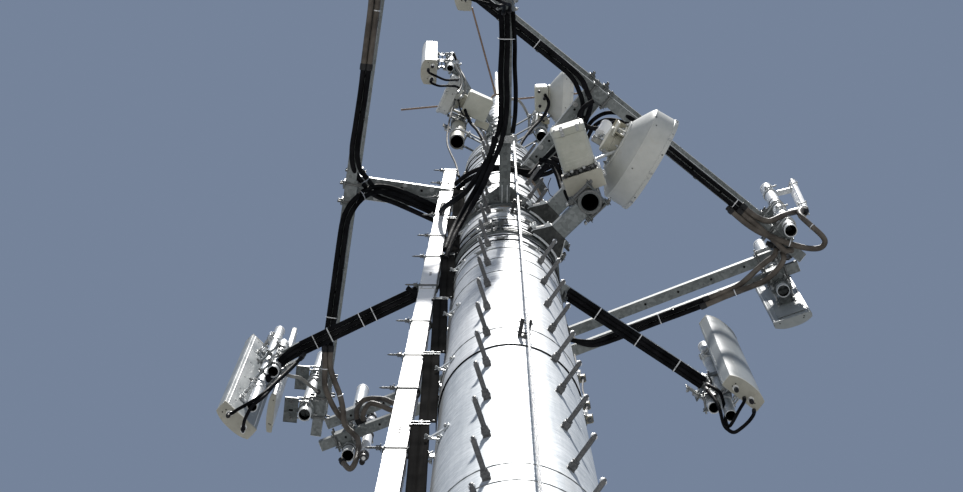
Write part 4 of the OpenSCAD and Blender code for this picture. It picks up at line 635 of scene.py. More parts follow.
for z in (22750, 21956, 21141, 20183, 19199, 18291, 17197, 16000, 15024, 14193, 12914, 11850, 10800, 9750, 8700, 7650, 6600, 5550, 4500, 3450):
    x0 = dx(z); y = -121
    # rod across the duct's front, pointed free end to the left, hooked to the right
    pts = [V((x0-66, y, z)), V((x0-20, y, z)), V((x0+40, y, z)), V((x0+88, y, z)), V((x0+97, y+5, z)), V((x0+99, y+17, z)), V((x0+98, y+34, z)), V((x0+91, y+42, z))]
    p.tube(pts, 9.5, STEEL_D, 10, step=14)
    p.lathe(V((x0-64, y, z)), -X, [(0, 4.7), (6, 4.2), (14, 2.0), (17, 0.5)], STEEL_D, 10)
    for k in range(7): p.lathe(V((x0-60+k*4.4, y, z)), X, [(0, 4.5), (1.2, 5.4), (2.6, 4.5)], STEEL_D, 10, cap0=False, cap1=False)
    p.bolt(V((x0-12, y, z)), -X, 20, STEEL_D, h=9, phase=rng.random()); p.bolt(V((x0-25, y, z)), -X, 20, STEEL_D, h=8, washer=False, phase=rng.random())
    p.box(V((x0-5, -78, z)), 8, 92, 30, GALV_DARK_AND_SHADE, ch=1.5); p.box(V((x0+1, y-1, z)), 5, 18, 24, GALV_DARK_AND_SHADE, ch=1)
    p.box(V((x0+92, y+10, z)), 6, 20, 24, GALV_DARK_AND_SHADE, ch=1.5)
p.done()
p = Piece("duct_bracket_bolts", "galv_bright")
for i in range(11):
    z = 19120-i*1530
    x0 = dx(z)+150; x9 = -pr(z)
    for fx in (22, 58): p.bolt(V((x0+fx, -71, z+18)), -Y, 15, STEEL, stub=6)
    for dz in (4, 116): p.bolt(V((x9-1, -48, z+dz)), -X, 17, STEEL, stub=8)
    p.tube([V((x0-4, -66, z+8)), V((x9, -66, z+112))], 9, GALV_BRIGHT_AND_HIGHLIGHT, 8, step=60)
    # bright splayed legs in front, from the cover's corner to the pole
    q = V((dx(z)+172, -140, z+15))
    for yy in (-140, -187):
        e_ = V((-math.sqrt(pr(z)**2-yy*yy)-1, yy, z+15)); flat(p, q, e_, 5, 30, GALV_BRIGHT_AND_HIGHLIGHT)
        nn = V((e_.x, e_.y, 0)).normalized(); p.box(e_+nn*2.5, 5, 34, 46, GALV_BRIGHT_AND_HIGHLIGHT, (nn, Z.cross(nn), Z), 1); p.bolt(e_+nn*5+Z*14, nn, 13, STEEL)
    p.bolt(q+V((-3, -4, 0)), V((-0.5, -1, 0)), 15, STEEL, stub=6)
p.done()
# small blocks on the pole's right side, with a rod that joins them
p = Piece("side_blocks", "rust_brown", ("ground_blocks",))
for z in (13850, 14150, 14800):
    d, t = adir(-10), adir(80); r = pr(z); o = d*r+Z*z
    p.box(o+d*2, 7, 44, 52, GALV_DARK_AND_SHADE, (d, t, Z), 1.5)
    p.box(o+d*19, 32, 34, 34, TAN, (d, t, Z), 3); p.box(o+d*20+Z*18.5, 34, 36, 5, PLASTIC, (d, t, Z), 1.5)
    p.bolt(o+d*22+Z*20, Z, 15, STEEL, h=8, stub=8); p.bolt(o+d*22-Z*17, -Z, 15, STEEL_D, h=9, stub=8)
    # the two side bolts are near-white: painted glints
    p.bolt(o+d*5-t*29+Z*8, d-t*0.6, 15, WHITE_HIGHLIGHT, stub=5); p.bolt(o+d*5-t*29-Z*14, d-t*0.6, 13, WHITE_HIGHLIGHT, stub=4)
d, t = adir(-10), adir(80)
p.tube([d*(pr(15400)+7)-t*8+Z*15400, d*(pr(15000)+8)-t*4+Z*15000, d*(pr(14800)+24)+Z*14835], 9, TAPE, 8)
p.tube([d*(pr(14760)+22)+Z*14770, d*(pr(14500)+10)-t*3+Z*14500, d*(pr(14200)+18)+Z*14185], 9, TAPE, 8)
p.tube([d*(pr(14100)+22)+Z*14130, d*(pr(14000)+12)-t*3+Z*14000, d*(pr(13880)+22)+Z*13885], 9, TAPE, 8)
p.done()

# ------------------------------------------------------------------ shared fittings
def strap(p, c, t, u, a, b, mat, w=9, th=1.5, tail=None, n=26, e=3.2):
    """flat band round a bundle: centre c, bundle along t, half size a along u and b across; tail is a cut end's length"""
    t = V(t).normalized(); u = (V(u)-t*V(u).dot(t)).normalized(); v = t.cross(u); c = V(c); rings = []
    for j in range(n+1):
        k = 2*math.pi*j/n; x_ = math.copysign(abs(math.cos(k))**(2/e), math.cos(k)); y_ = math.copysign(abs(math.sin(k))**(2/e), math.sin(k))
        o = u*(a*x_)+v*(b*y_); nn = (u*(x_/max(a, 1)*abs(x_)**(e-2) if x_ else 0)+v*(y_/max(b, 1)*abs(y_)**(e-2) if y_ else 0))
        nn = nn.normalized() if nn.length > 1e-6 else o.normalized()
        rings.append([c+o-t*w/2, c+o+nn*th-t*w/2*0.86, c+o+nn*th+t*w/2*0.86, c+o+t*w/2])
    p.loft(rings, mat, False, False)
    if tail:
        q = c+u*(a*0.2)-v*(b+th); p.box(q, w*0.9, w*0.9, 4, mat, (t, u, v), 0.6); p.tube([q-v*1, q-v*tail*0.5+u*3, q-v*tail+u*8], 3.0, mat, 6, step=8)

def connector(p, q, d, size=1.0, boot=True, mat=None):
    """threaded coax connector at q, pointing along d, with a rubber boot to the cable"""
    m = mat or CONN; s = size
    p.lathe(q, d, [(0, 13*s), (2, 15*s), (8*s, 15*s), (9*s, 12*s), (12*s, 12*s)], m, 20)
    p.bolt(V(q)+V(d).normalized()*11*s, d, 27*s, m, h=16*s, washer=False)
    p.lathe(V(q)+V(d).normalized()*26*s, d, [(0, 12.5*s), (2*s, 13.5*s), (20*s, 13.5*s), (23*s, 11*s)], m, 20)
    if boot: p.lathe(V(q)+V(d).normalized()*44*s, d, [(0, 13*s), (3*s, 15.5*s), (34*s, 15*s), (52*s, 12*s), (58*s, 9*s)], TAPE, 18)

def jaws(p, c, d, dia, mat, w=46, rods=13, reach=60, rmat=None, back=26, e=3):
    """two clamping jaws round an upright pipe at c; d points to what is held; threaded rods through both"""
    c = V(c); d = V(d).normalized(); t = Z.cross(d); r = dia/2; rm = rmat or STEEL
    for s in (-1, 1):
        poly = [(-r-22, 0), (-r-22, 10), (-r-4, 14), (-r*0.62, r*0.62+8), (r*0.62, r*0.62+8), (r+4, 14), (r+22, 10), (r+22, 0), (r+3, 0)]
        arc = [(r*1.01*math.cos(k), r*1.01*math.sin(k)) for k in [math.radians(q) for q in range(24, 160, 12)]]
        poly = [(-r-24, 2), (-r-24, 12), (-r-6, 20), (-r*0.7, r*0.74+9), (-r*0.2, r+9), (r*0.2, r+9), (r*0.7, r*0.74+9), (r+6, 20), (r+24, 12), (r+24, 2)]
        # jaw as a bent strap: outside poly, inside arc
        inner = [(r+3, 2)]+[(max(-r, min(r, x_)), y_) for x_, y_ in arc]+[(-r-3, 2)]
        for zz in (-w/2+4, w/2-4):
            ring = poly+inner; p.prism([(x_*1.0, y_) for x_, y_ in [poly[k] for k in range(len(poly))][::-1]] if False else poly[::-1], 6, mat, c+d*0+Z*(zz-3), (t, d*s, Z if s > 0 else Z), 0.8) if False else None
        rings = []
        for zz, k in ((-w/2, 0.985), (-w/2+1.5, 1), (w/2-1.5, 1), (w/2, 0.985)):
            rings.append([c+t*(x_*k)+d*(s*y_*k)+Z*zz for x_, y_ in poly])
        p.loft(rings if s < 0 else [r_[::-1] for r_ in rings], mat)
    for s in (-1, 1):
        q0 = c+t*(s*(r+13))-d*back; q1 = c+t*(s*(r+13))+d*reach
        p.stud(q0, q1, rods, rm, (-(back-12-e), back+12), rods*1.6)

def arms_plates(p, c, d, dia, reach, mat, w=64, h=54, th=5, nb=2):
    """pair of cheek plates from a pipe clamp to a back plate at the reach"""
    c = V(c); d = V(d).normalized(); t = Z.cross(d)
    for s in (-1, 1):
        p.box(c+d*((dia/2+12+reach)/2)+t*(s*w/2), reach-dia/2-12, th, h, mat, (d, t, Z), 1)
        for x_ in (dia/2+26, reach-16): p.bolt(c+d*x_+t*(s*(w/2+th/2)), t*s, 17, STEEL, stub=7, phase=rng.random())
    p.box(c+d*(reach-th/2), th, w+44, h+36, mat, (d, t, Z), 1)
    for s in (-1, 1):
        for z_ in (-1, 1): p.bolt(c+d*(reach-th)+t*(s*(w/2+12))+Z*(z_*(h/2+8)), -d, 14, STEEL, phase=rng.random())

def scissor(p, c, d, dia, reach, mat, up=150, th=5, w=60):
    """folding down-tilt bracket: two links that meet at a knee"""
    c = V(c); d = V(d).normalized(); t = Z.cross(d)
    a = c+d*(dia/2+16); b = c+d*(reach-8)+Z*up*0.25; k = (a+b)/2+Z*up*0.62
    for s in (-1, 1):
        for q0, q1 in ((a, k), (k, b)):
            ax = (q1-q0).normalized(); n_ = ax.cross(t); off = s*(w/2+(3 if (q0 - k).length < 1 else -3))
            p.box((q0+q1)/2+t*off, (q1-q0).length+26, th, 34, mat, (ax, t, n_), 1)
    for q in (a, k, b): p.stud(q-t*(w/2+16), q+t*(w/2+16), 11, STEEL, (8, -(w+24)), 18)
    p.box(c+d*(reach-2)+Z*up*0.25, 5, w+20, 120, mat, (d, t, Z), 1)
    for z_ in (-44, 44): p.bolt(c+d*(reach-5)+Z*(up*0.25+z_), -d, 14, STEEL)

def domed_mast(p, q0, q1, d, mat, t=5.5, cap=None, tape=True):
    q0, q1 = V(q0), V(q1); ax = (q1-q0).normalized(); L = (q1-q0).length; cap = cap or WHITE
    p.pipe(q0, q1-ax*2, d, t, mat, 36, inner=SHADE_BLACK)
    p.lathe(q1-ax*34, ax, [(0, d/2+0.4), (1.5, d/2+2.6), (31, d/2+2.6), (34, d/2+1.5), (42, d/2-2.5), (50, d/2-9), (56, d/2-19), (59, d/2-32 if d > 70 else 3), (60, 1)], cap, 32, cap0=False)
    p.lathe(q1-ax*37, ax, [(0, d/2+0.2), (1, d/2+1.4), (3, d/2+1.4), (4, d/2+0.2)], STEEL_D, 32, cap0=False, cap1=False)

def radome(p, foot, lean, az, w, d, s, h, body, cap, conns=(), holes=2, grooves=True, off=0.0, back=None):
    """antenna panel: back tray, arched cover, end caps with drain holes, connectors under it"""
    foot = V(foot); u, v = adir(az), adir(az+90); ln = V((lean[0], lean[1], 0))
    def W(x_, y_, z_): return foot+u*(x_+off)+v*y_+ln*(z_/h)+Z*z_
    def prof(g, inset=0.0):
        r = 6.0; hw = w/2+g-inset; x0 = -g+inset; pts = []
        pts += [(x0, -hw+r), (x0+r*0.3, -hw+r*0.3), (x0+r, -hw)]
        if grooves: pts += [(12, -hw), (12.4, -hw+2.2), (15.4, -hw+2.2), (16, -hw)]
        pts += [(s*0.55, -hw), (s*0.86, -hw)]
        for i in range(19):
            t = -0.985+1.97*i/18; pts.append((s+g-inset+(d-s)*(1-abs(t)**2.6), t*hw))
        pts += [(s*0.86, hw), (s*0.55, hw)]
        if grooves: pts += [(16, hw), (15.4, hw-2.2), (12.4, hw-2.2), (12, hw)]
        pts += [(x0+r, hw), (x0+r*0.3, hw-r*0.3), (x0, hw-r)]
        return pts
    zs = [16]+[16+(h-32)*i/10 for i in range(1, 10)]+[h-16]
    p.loft([[W(x_, y_, z_) for x_, y_ in prof(0)] for z_ in zs], body, False, False)
    for z0, sg in ((0, 1), (h, -1)):
        rr = [(2.5, 0), (0.6, 2), (-1.6, 4), (-1.8, 14), (-1.6, 19), (0.4, 20.5)]
        rings = [[W(x_, y_, z0+sg*zz) for x_, y_ in prof(-ins if ins < 0 else 0, max(0, ins))] for ins, zz in rr]
        rings = [[q for q in r] for r in rings]
        p.loft(rings if sg > 0 else [r[::-1] for r in rings], cap, True, False)
        # screws round the cap, drain holes
        for yy in (-w*0.33, w*0.33): p.lathe(W(-1.6, yy, z0+sg*10), -u, [(0, 4.5), (1.6, 4.2), (2.4, 2.5)], STEEL, 10)
        for xx in (s*0.5,):
            for sy in (-1, 1): p.lathe(W(xx, sy*(w/2+1.8), z0+sg*10), v*sy, [(0, 4.5), (1.6, 4.2), (2.4, 2.5)], STEEL, 10)
    # drain holes as near-black discs: painted shade
    for k in range(holes):
        p.lathe(W(s*0.45+(k % 2)*s*0.32, (-w*0.30 if k < 2 else w*0.30)+k*6, -0.2), -Z, [(0, 4.2), (0.4, 4.2)], SHADE_BLACK, 12)
    for cx, cy in conns:
        p.lathe(W(cx, cy, 0.5), -Z, [(0, 19), (5, 19), (6, 17)], CONN, 20); connector(p, W(cx, cy, -5), -Z, 0.95)
    return W

# ------------------------------------------------------------------ star mount
cad("star_arm_front", GALV); cad("star_arm_right", GALV); cad("star_arm_left", GALV)
AZ_F, AZ_R, AZ_L = -90, 33, 153.5
mf = [V((-95,-1655,18700)), V((-95,-1668,21000))]; mr = [V((1373,879,18660)), V((1377,854,20930))]; ml = [V((-1494,828,18500)), V((-1505,791,20980))]
sf, sr, sl = V((0,-1622,18950)), V((1294,888,18950)), V((-1417,732,19140))
p = Piece("star_mast_pipes", "galv_bright", ("mast_pipes_star",))
for (a, b), d in ((mf, 73), (mr, 73), (ml, 66)): domed_mast(p, a, b, d, GALV_BRIGHT_AND_HIGHLIGHT, 5.2)
for q in (sf, sr, sl):
    p.pipe(q, q+Z*960, 76, 6, GALV_BRIGHT_AND_HIGHLIGHT, 32, inner=SHADE_BLACK)
    for zz in (120, 840): p.lathe(q+Z*zz, Z, [(0, 38.2), (1, 40), (17, 40), (18, 38.2)], BAND_D, 28, cap0=False, cap1=False)
p.done()
p = Piece("star_collar_bolts", "galv_dark")
r = pr(STAR_Z-100)
for a in (AZ_F, AZ_R, AZ_L):
    for s in (-42, 42):
        d, t = adir(a+s), adir(a+s+90)
        for dz in (-84, -28, 28, 84): c = d*(r+20)+Z*(STAR_Z+dz); p.stud(c-t*58, c+t*48, 16, STEEL_D, (24, -(106-40)), 26)
    d, t = adir(a), adir(a+90); r1 = pr(STAR_Z-40)
    for sy in (-44, 44):
        for sz in (-1, 1):
            p.bolt(d*(r1+28)+t*sy+Z*(STAR_Z+sz*20), d, 22, STEEL_D, stub=8)
            p.bolt(d*(r1+16)+t*sy*2.6+Z*(STAR_Z+(45 if sz > 0 else 35)), Z*sz, 20, STEEL_D if sz > 0 else STEEL, stub=9)
    # weld beads where the gusset meets the arm, two lips and a slot under the arm's root
    for sy in (-1, 1): p.tube([d*(r1+20)+t*(35*sy)+Z*(STAR_Z+34), d*(r1+60)+t*(35.4*sy)+Z*(STAR_Z+34.5), d*(r1+104)+t*(35*sy)+Z*(STAR_Z+34)], 6, GALV, 6)
    for sy in (-1, 1): p.box(d*(r1+70)+t*(sy*16)+Z*(STAR_Z-36), 110, 6, 6, GALV_BRIGHT_AND_HIGHLIGHT, (d, t, Z), 1)
p.done()
# arm-end saddles: plates with U-bolts that hold the sleeves
p = Piece("star_arm_saddles", "galv_dark")
for q, a, e in ((sf, AZ_F, 1585), (sr, AZ_R, 1530), (sl, AZ_L, 1556)):
    d, t = adir(a), adir(a+90)
    c = V((q.x, q.y, 0))
    for sz in (-58, 58):
        cc = c+Z*(STAR_Z+sz*1.0); p.ubolt(cc, Z, -d, 45, 78, 13, STEEL, plate=50)
    p.box(c-d*44+Z*STAR_Z, 8, 150, 170, GALV, (d, t, Z), 1.5)
    for sy in (-1, 1): p.box(c-d*92+t*(sy*41)+Z*STAR_Z, 96, 8, 120, GALV, (d, t, Z), 1.5)
    for sy in (-1, 1):
        for x_ in (-70, -118): p.bolt(c+d*x_+t*(sy*45.5)+Z*(STAR_Z+14*(-1 if x_ < -100 else 1)), t*sy, 21, STEEL, stub=9)
p.done()
# links between sleeves and mast pipes
p = Piece("panel_clamps", "galv_bright", ("panel_brackets",))
for (m, q, za) in ((mr, sr, (19150, 19760)), (ml, sl, (19210, 19820)), (mf, sf, (19150, 19760))):
    for z in za:
        a, b = mix(m[0], m[1], z), V((q.x, q.y, z)); d = (b-a).normalized(); t = Z.cross(d); c = (a+b)/2
        for s in (-1, 1):
            p.box(c+t*(s*46), 196, 8, 84, GALV, (d, t, Z), 1.5)
        for x_ in (-84, 84, 0):
            for dz in (-28, 28): p.stud(c+d*x_-t*72, c+d*x_+t*72, 13, STEEL, (18, -(144-18)), 21)
        p.ubolt(a, Z, d, 42, 62, 12, STEEL, plate=46); p.ubolt(b, Z, -d, 44, 62, 12, STEEL, plate=46)
pr_p, pl_p, pf_p = V((1421,771,18660)), V((-1569,901,18600)), V((-213,-1663,18700))
for m, dia, az, zs, rc, foot, ln, h in ((mr, 73, -53, (19060, 20420), (118, 96), pr_p, (14,-20), 2110), (ml, 66, 132.8, (19000, 20560), (104, 104), pl_p, (-20,-5), 2350), (mf, 73, 183, (19080, 20430), (114, 114), pf_p, (-18, 2), 2110)):
    for k, (z, re_) in enumerate(zip(zs, rc)):
        c = mix(m[0], m[1], z); d = adir(az); fz = z-foot.z
        back = (V((foot.x, foot.y, z))+V((ln[0], ln[1], 0))*(fz/h)); re = max(70, (back-c).dot(d)); t = Z.cross(d); sh_ = (back-c).dot(t)
        jaws(p, c, d, dia, GALV_BRIGHT_AND_HIGHLIGHT, reach=70); jaws(p, c+Z*86, d, dia, GALV_BRIGHT_AND_HIGHLIGHT, reach=64, w=36)
        arms_plates(p, c+t*max(-40, min(40, sh_))*0.5, d, dia, re-1, GALV_BRIGHT_AND_HIGHLIGHT)
        if k: scissor(p, c+Z*34, d, dia, re-1, GALV_BRIGHT_AND_HIGHLIGHT, up=120)
p.done()
PR = dict(body=RADOME, cap=CAPB)
p = Piece("panel_right_detail", "radome", ("panel_right",))
W = radome(p, pr_p, (14,-20), -53, 266, 106, 74, 2110, conns=((36, -58), (36, 58)), holes=3, **PR)
# near-white ribs along the back edges: painted highlight lines
for yy in (-124, -96, 96, 124): p.tube([W(-1.5, yy, 30), W(-1.5, yy, 2080)], 7, RADOME_WHITE_AND_HIGHLIGHT, 6, step=500)
p.done()
p = Piece("panel_left_detail", "radome", ("panel_left",))
W = radome(p, pl_p, (-20,-5), 132.8, 257, 106, 78, 2350, conns=((38, -60), (38, 60)), holes=4, **PR)
# near-white ribs along the back edges: painted highlight lines
for yy in (-104, 104): p.tube([W(-1.5, yy, 30), W(-1.5, yy, 2320)], 7, RADOME_WHITE_AND_HIGHLIGHT, 6, step=500)
for zz in (240, 620, 1000, 1500, 1900, 2250):
    for yy in (-70, 70): p.lathe(W(-0.5, yy, zz), -adir(132.8), [(0, 7), (1.5, 6.5), (2.6, 4)], STEEL, 12)
p.done()
p = Piece("panel_front_detail", "radome", ("panel_front",))
W = radome(p, pf_p, (-18, 2), 183, 266, 106, 74, 2110, conns=((36, -58), (36, 58)), holes=3, **PR)
p.done()

# ------------------------------------------------------------------ sector frame
for k in "abc":
    cad("frame_arm_"+k, GALV); cad("rail_"+k+"_low", GALV); cad("rail_"+k+"_high", GALV)
p = Piece("rail_details", "galv_dark")
for k in range(3):
    n, t = adir(NRM[k]), adir(NRM[k]+90)
    for z in (RAIL_Z, HIGH_Z):
        for s, e in ((-1, ENDS[k][0]), (1, ENDS[k][1])):
            c = n*FACE_R+t*(s*e)+Z*z
            # rolled-over lip of the open end, and a near-black plate inside it as painted shade
            for zz in (-1, 1): p.box(c+Z*(zz*(RAIL_W/2-2.5))+t*(s*0.6), RAIL_W, 2.4, 5.5, GALV_BRIGHT_AND_HIGHLIGHT, (n, t, Z), 0.7)
            for rr in (-1, 1): p.box(c+n*(rr*(RAIL_W/2-2.5))+t*(s*0.6), 5.5, 2.4, RAIL_W-10, GALV_BRIGHT_AND_HIGHLIGHT, (n, t, Z), 0.7)
            p.box(c-t*(s*60), RAIL_W-12, 3, RAIL_W-12, SHADE_BLACK, (n, t, Z), 0.5)
        # bright galvanised tubes along the rolled edges, painted highlight, and a strip of adjustment holes drawn as
        # near-black discs, painted shade, on the outside face
        for rr in (-1, 1):
            p.tube([n*(FACE_R+rr*(RAIL_W/2-1.6))-t*ENDS[k][0]+Z*(z+RAIL_W/2-1.6), n*(FACE_R+rr*(RAIL_W/2-1.6))+t*ENDS[k][1]+Z*(z+RAIL_W/2-1.6)], 4.2, GALV_BRIGHT_AND_HIGHLIGHT, 6, step=2000)
        for i in range(-6, 7):
            if abs(i) > 1: p.lathe(n*(FACE_R+RAIL_W/2+0.2)+t*(i*250)+Z*z, n, [(0, 9), (0.4, 9)], SHADE_BLACK, 12)
            if abs(i) > 1: p.lathe(n*FACE_R+t*(i*250+60)+Z*(z-RAIL_W/2-0.2), -Z, [(0, 9), (0.4, 9)], SHADE_BLACK, 12)
p.done()
p = Piece("frame_arm_details", "galv_dark")
for k in range(3):
    n, t = adir(NRM[k]), adir(NRM[k]+90); e = FACE_R-RAIL_W/2-12
    # U-bolts that tie the rails to the arm's end plate, with long threads outside the rail
    for z in (RAIL_Z, HIGH_Z):
        for s in (-62, 62):
            c = n*FACE_R+t*s+Z*z
            for zz in (-46, 46):
                p.stud(c-n*74+Z*zz, c+n*72+Z*zz, 15, STEEL_D, (14, -(146-22)), 24)
            p.box(c+n*(RAIL_W/2+5), 9, 44, 130, GALV, (n, t, Z), 1.5)
        # rail splice plate seen on the outside
        p.box(n*(FACE_R)+t*0+Z*(z+RAIL_W/2+4), 60, 300, 7, GALV, (n, t, Z), 1.2)
        for i in (-110, -40, 40, 110): p.bolt(n*FACE_R+t*i+Z*(z+RAIL_W/2+7), Z, 20, STEEL, stub=9)
    # the two bars of the arm: a bright strip in the gap and bright tubes along the bars' edges as painted highlight,
    # fixing holes as near-black discs (painted shade), stitch bolts, welds at the end plate
    r0 = pr(ARM_Z-60)+14
    for zz in (-29.5, 29.5): p.box(n*((r0+e)/2)+Z*(ARM_Z+zz), e-r0-4, 3.6, 1.2, GALV_BRIGHT_AND_HIGHLIGHT, (n, t, Z), 0.4)
    for s in (-1, 1):
        for zz in (-1, 1): p.tube([n*(r0+8)+t*(s*77)+Z*(ARM_Z+zz*29), n*e+t*(s*77)+Z*(ARM_Z+zz*29)], 4.4, GALV_BRIGHT_AND_HIGHLIGHT, 6, step=2000)
        for i in range(4): p.lathe(n*(430+i*140)+t*(s*40)+Z*(ARM_Z-30.4), -Z, [(0, 9), (0.5, 9)], SHADE_BLACK, 12)
        p.tube([n*(e-1)+t*(s*78)+Z*(ARM_Z-30), n*(e-1)+t*(s*2)+Z*(ARM_Z-30)], 7, GALV, 6)
    for i in range(3):
        for s in (-1, 1): p.bolt(n*(500+i*190)+t*(s*58)+Z*(ARM_Z-30), -Z, 18, STEEL, stub=8, phase=rng.random())
    # bolt on the end plate for an earth tail
    p.bolt(n*(e-0)+t*78+Z*(RAIL_Z+300), -n, 17, STEEL, stub=8)
p.done()
p = Piece("frame_collar_bolts", "galv_dark")
z = ARM_Z-60; r = pr(z)
for a in (7.5, 127.5, 247.5):
    d, t = adir(a), adir(a+90)
    for dz in (24, 60, 96): c = d*(r+34)+Z*(z+dz); p.stud(c-t*62, c+t*62, 16, STEEL_D, (26, -(124-26)), 26)
for k in range(3):
    d, t = adir(NRM[k]), adir(NRM[k]+90)
    p.box(d*(r+88*0.5+22)+Z*(z+20.2), 84, 148, 1.4, GALV_BRIGHT_AND_HIGHLIGHT, (d, t, Z), 0.5); p.box(d*(r+66)+Z*(z+99.8), 84, 148, 1.4, GALV_BRIGHT_AND_HIGHLIGHT, (d, t, Z), 0.5)
    for sy in (-48, 48):
        for x_ in (42, 92): p.bolt(d*(r+x_)+t*sy+Z*(z+19.5), -Z, 22, STEEL, stub=10, phase=rng.random()); p.bolt(d*(r+x_)+t*sy+Z*(z+100.5), Z, 22, STEEL, stub=10)
    for sy in (-1, 1): p.box(d*(r+26)+t*(sy*86)+Z*(z+60), 26, 14, 118, GALV_DARK_AND_SHADE, (d, t, Z), 2)
band(ARM_Z-78, 12, 15, RUSTY); band(ARM_Z+66, 12, 15, RUSTY)
for a0_, a1_ in ((-92, -68), (-66, -22)):
    rings = []
    for j in range(25):
        a = a0_+(a1_-a0_)*j/24; rings.append([pol(a, r+rr, z+dz) for rr, dz in ((12, -3), (66, -3), (67, -2), (67, 7), (66, 8), (12, 8))])
    p.loft(rings, GALV_DARK_AND_SHADE, True, True)
    for k in range(4): a = a0_+(a1_-a0_)*(k+0.5)/4; p.bolt(pol(a, r+50, z-3), -Z, 20, STEEL_D, stub=12)
p.done()

# mast pipes
fp = [[V((-1328,1345,20850)), V((-1318,1320,22950)), 0], [V((-1034,1634,20900)), V((-1030,1624,23230)), 2],
      [V((1945,51,20900)), V((1975,12,22950)), 1], [V((1906,462,20900)), V((1935,436,22950)), 2],
      [fpos(0,1140,1545,20880), fpos(0,1155,1550,22950), 0], [fpos(1,1140,-1520,20880), fpos(1,1155,-1524,22950), 1]]
p = Piece("frame_mast_pipes", "galv_bright", ("mast_pipes_frame",))
for i, (a, b, k) in enumerate(fp):
    domed_mast(p, a, b, 89, GALV_BRIGHT_AND_HIGHLIGHT)
    ax = (b-a).normalized()
    for zz, w in ((64, 20), (96, 20), (560, 24), (1240, 30), (1640, 20)) if i in (2, 4) else ((150, 22), (980, 26), (1500, 20)):
        p.lathe(a+ax*zz, ax, [(0, 44.7), (0.8, 46.6), (w-0.8, 46.6), (w, 44.7)], TAPE, 30, cap0=False, cap1=False)
p.done()
p = Piece("frame_pipe_clamps", "galv_dark", ("frame_clamps",))
for a, b, k in fp:
    n, t = adir(NRM[k]), adir(NRM[k]+90)
    for z in (RAIL_Z, HIGH_Z):
        c = mix(a, b, z); s = c.dot(t); g = c.dot(n)-FACE_R-RAIL_W/2; o = n*(FACE_R+RAIL_W/2)+t*s+Z*z
        p.box(o+n*5, 9, 160, 124, GALV, (n, t, Z), 1.5); p.box(o-n*(RAIL_W+5), 9, 160, 124, GALV, (n, t, Z), 1.5)
        for sy in (-68, 68):
            for sz in (-49, 49): p.stud(o+t*sy+Z*sz-n*(RAIL_W+40), o+t*sy+Z*sz+n*44, 15, STEEL_D, (30, -(RAIL_W+50)), 24)
        # saddle blocks and pairs of U-bolts round the pipe
        for sz in (-34, 34):
            p.prism([(0, -52), (g-26, -52), (g-8, -34), (g-4, -16), (g-4, 16), (g-8, 34), (g-26, 52), (0, 52)], 14, GALV, o+n*9+Z*(sz-7), (n, t, Z), 1.2)
            p.ubolt(V((c.x, c.y, z+sz*1.5)), Z, -n, 50, g+26, 12, STEEL, plate=g-12)
            p.box(V((c.x, c.y, z+sz*1.5))-n*(g-15), 6, 134, 26, GALV, (n, t, Z), 1)
p.done()

# panels and slim antennas on the frame
tp = [[V((-1503,1249,20400)),187,258,45,30,2400,(-18,-40)], [V((1926,575,20500)),70.6,260,64,34,1480,(14,-12)], [fpos(1,1262,-1520,20500),308,258,64,34,1480,(12,-10)]]
sp = [[V((2104,-3,21500)),V((2160,-34,22900)),15,72,44], [V((-1160,-1700,21420)),V((-1185,-1745,22850)),250,72,44]]
p = Piece("frame_panels_detail", "radome", ("frame_panels",))
for i, (ft, az, w, d, s, h, ln) in enumerate(tp):
    W = radome(p, ft, ln, az, w, d, s, h, RADOME_WHITE_AND_HIGHLIGHT if i == 0 else RADOME, CAPB if i == 0 else RADOME, conns=(), holes=3, grooves=i != 0)
    if i:
        # near-white ribs along the back edges: painted highlight lines
        for yy in (-w/2+10, w/2-10): p.tube([W(-1.6, yy, 24), W(-1.6, yy, h-24)], 8, RADOME_WHITE_AND_HIGHLIGHT, 8, step=400)
        p.box(W(-3, 0, h*0.5), 5, w*0.72, h*0.88, RADOME, (adir(az), adir(az+90), Z), 2)
        for zz in (h*0.12, h*0.3, h*0.7, h*0.88):
            for yy in (-w*0.3, w*0.3): p.lathe(W(-5, yy, zz), -adir(az), [(0, 6), (2, 5.5), (3, 3)], STEEL, 12)
p.done()
p = Piece("slim_antenna_details", "radome_white", ("slim_antennas",))
for ft, tpp, az, w, d in sp:
    W = radome(p, ft, (tpp.x-ft.x, tpp.y-ft.y), az, w, d, d*0.7, tpp.z-ft.z, WHITE, GREYJ, conns=((20, 0),), holes=0, grooves=False, off=-d/2)
p.lathe(V((-918,1605,20700)), Z, [(0, 15), (3, 17), (26, 17), (28, 22), (44, 23), (46, 25), (60, 25.5), (62, 33), (66, 34), (80, 34), (84, 33), (1392, 33), (1410, 33), (1424, 34), (1440, 34), (1446, 33), (1470, 29), (1486, 21), (1494, 10), (1497, 0.5)], WHITE, 32)
p.lathe(V((-918,1605,20698)), Z, [(0, 10), (0.5, 25.6), (4, 26.5), (58, 26.5), (60, 35.2), (96, 35.4), (98, 34.2)], PLASTIC, 32, cap0=False, cap1=False)
p.lathe(V((-918,1605,20684)), Z, [(0, 12), (2, 14), (14, 14), (16, 12)], CONN, 20)
p.done()
p = Piece("frame_antenna_clamps", "galv_bright", ("antenna_brackets",))
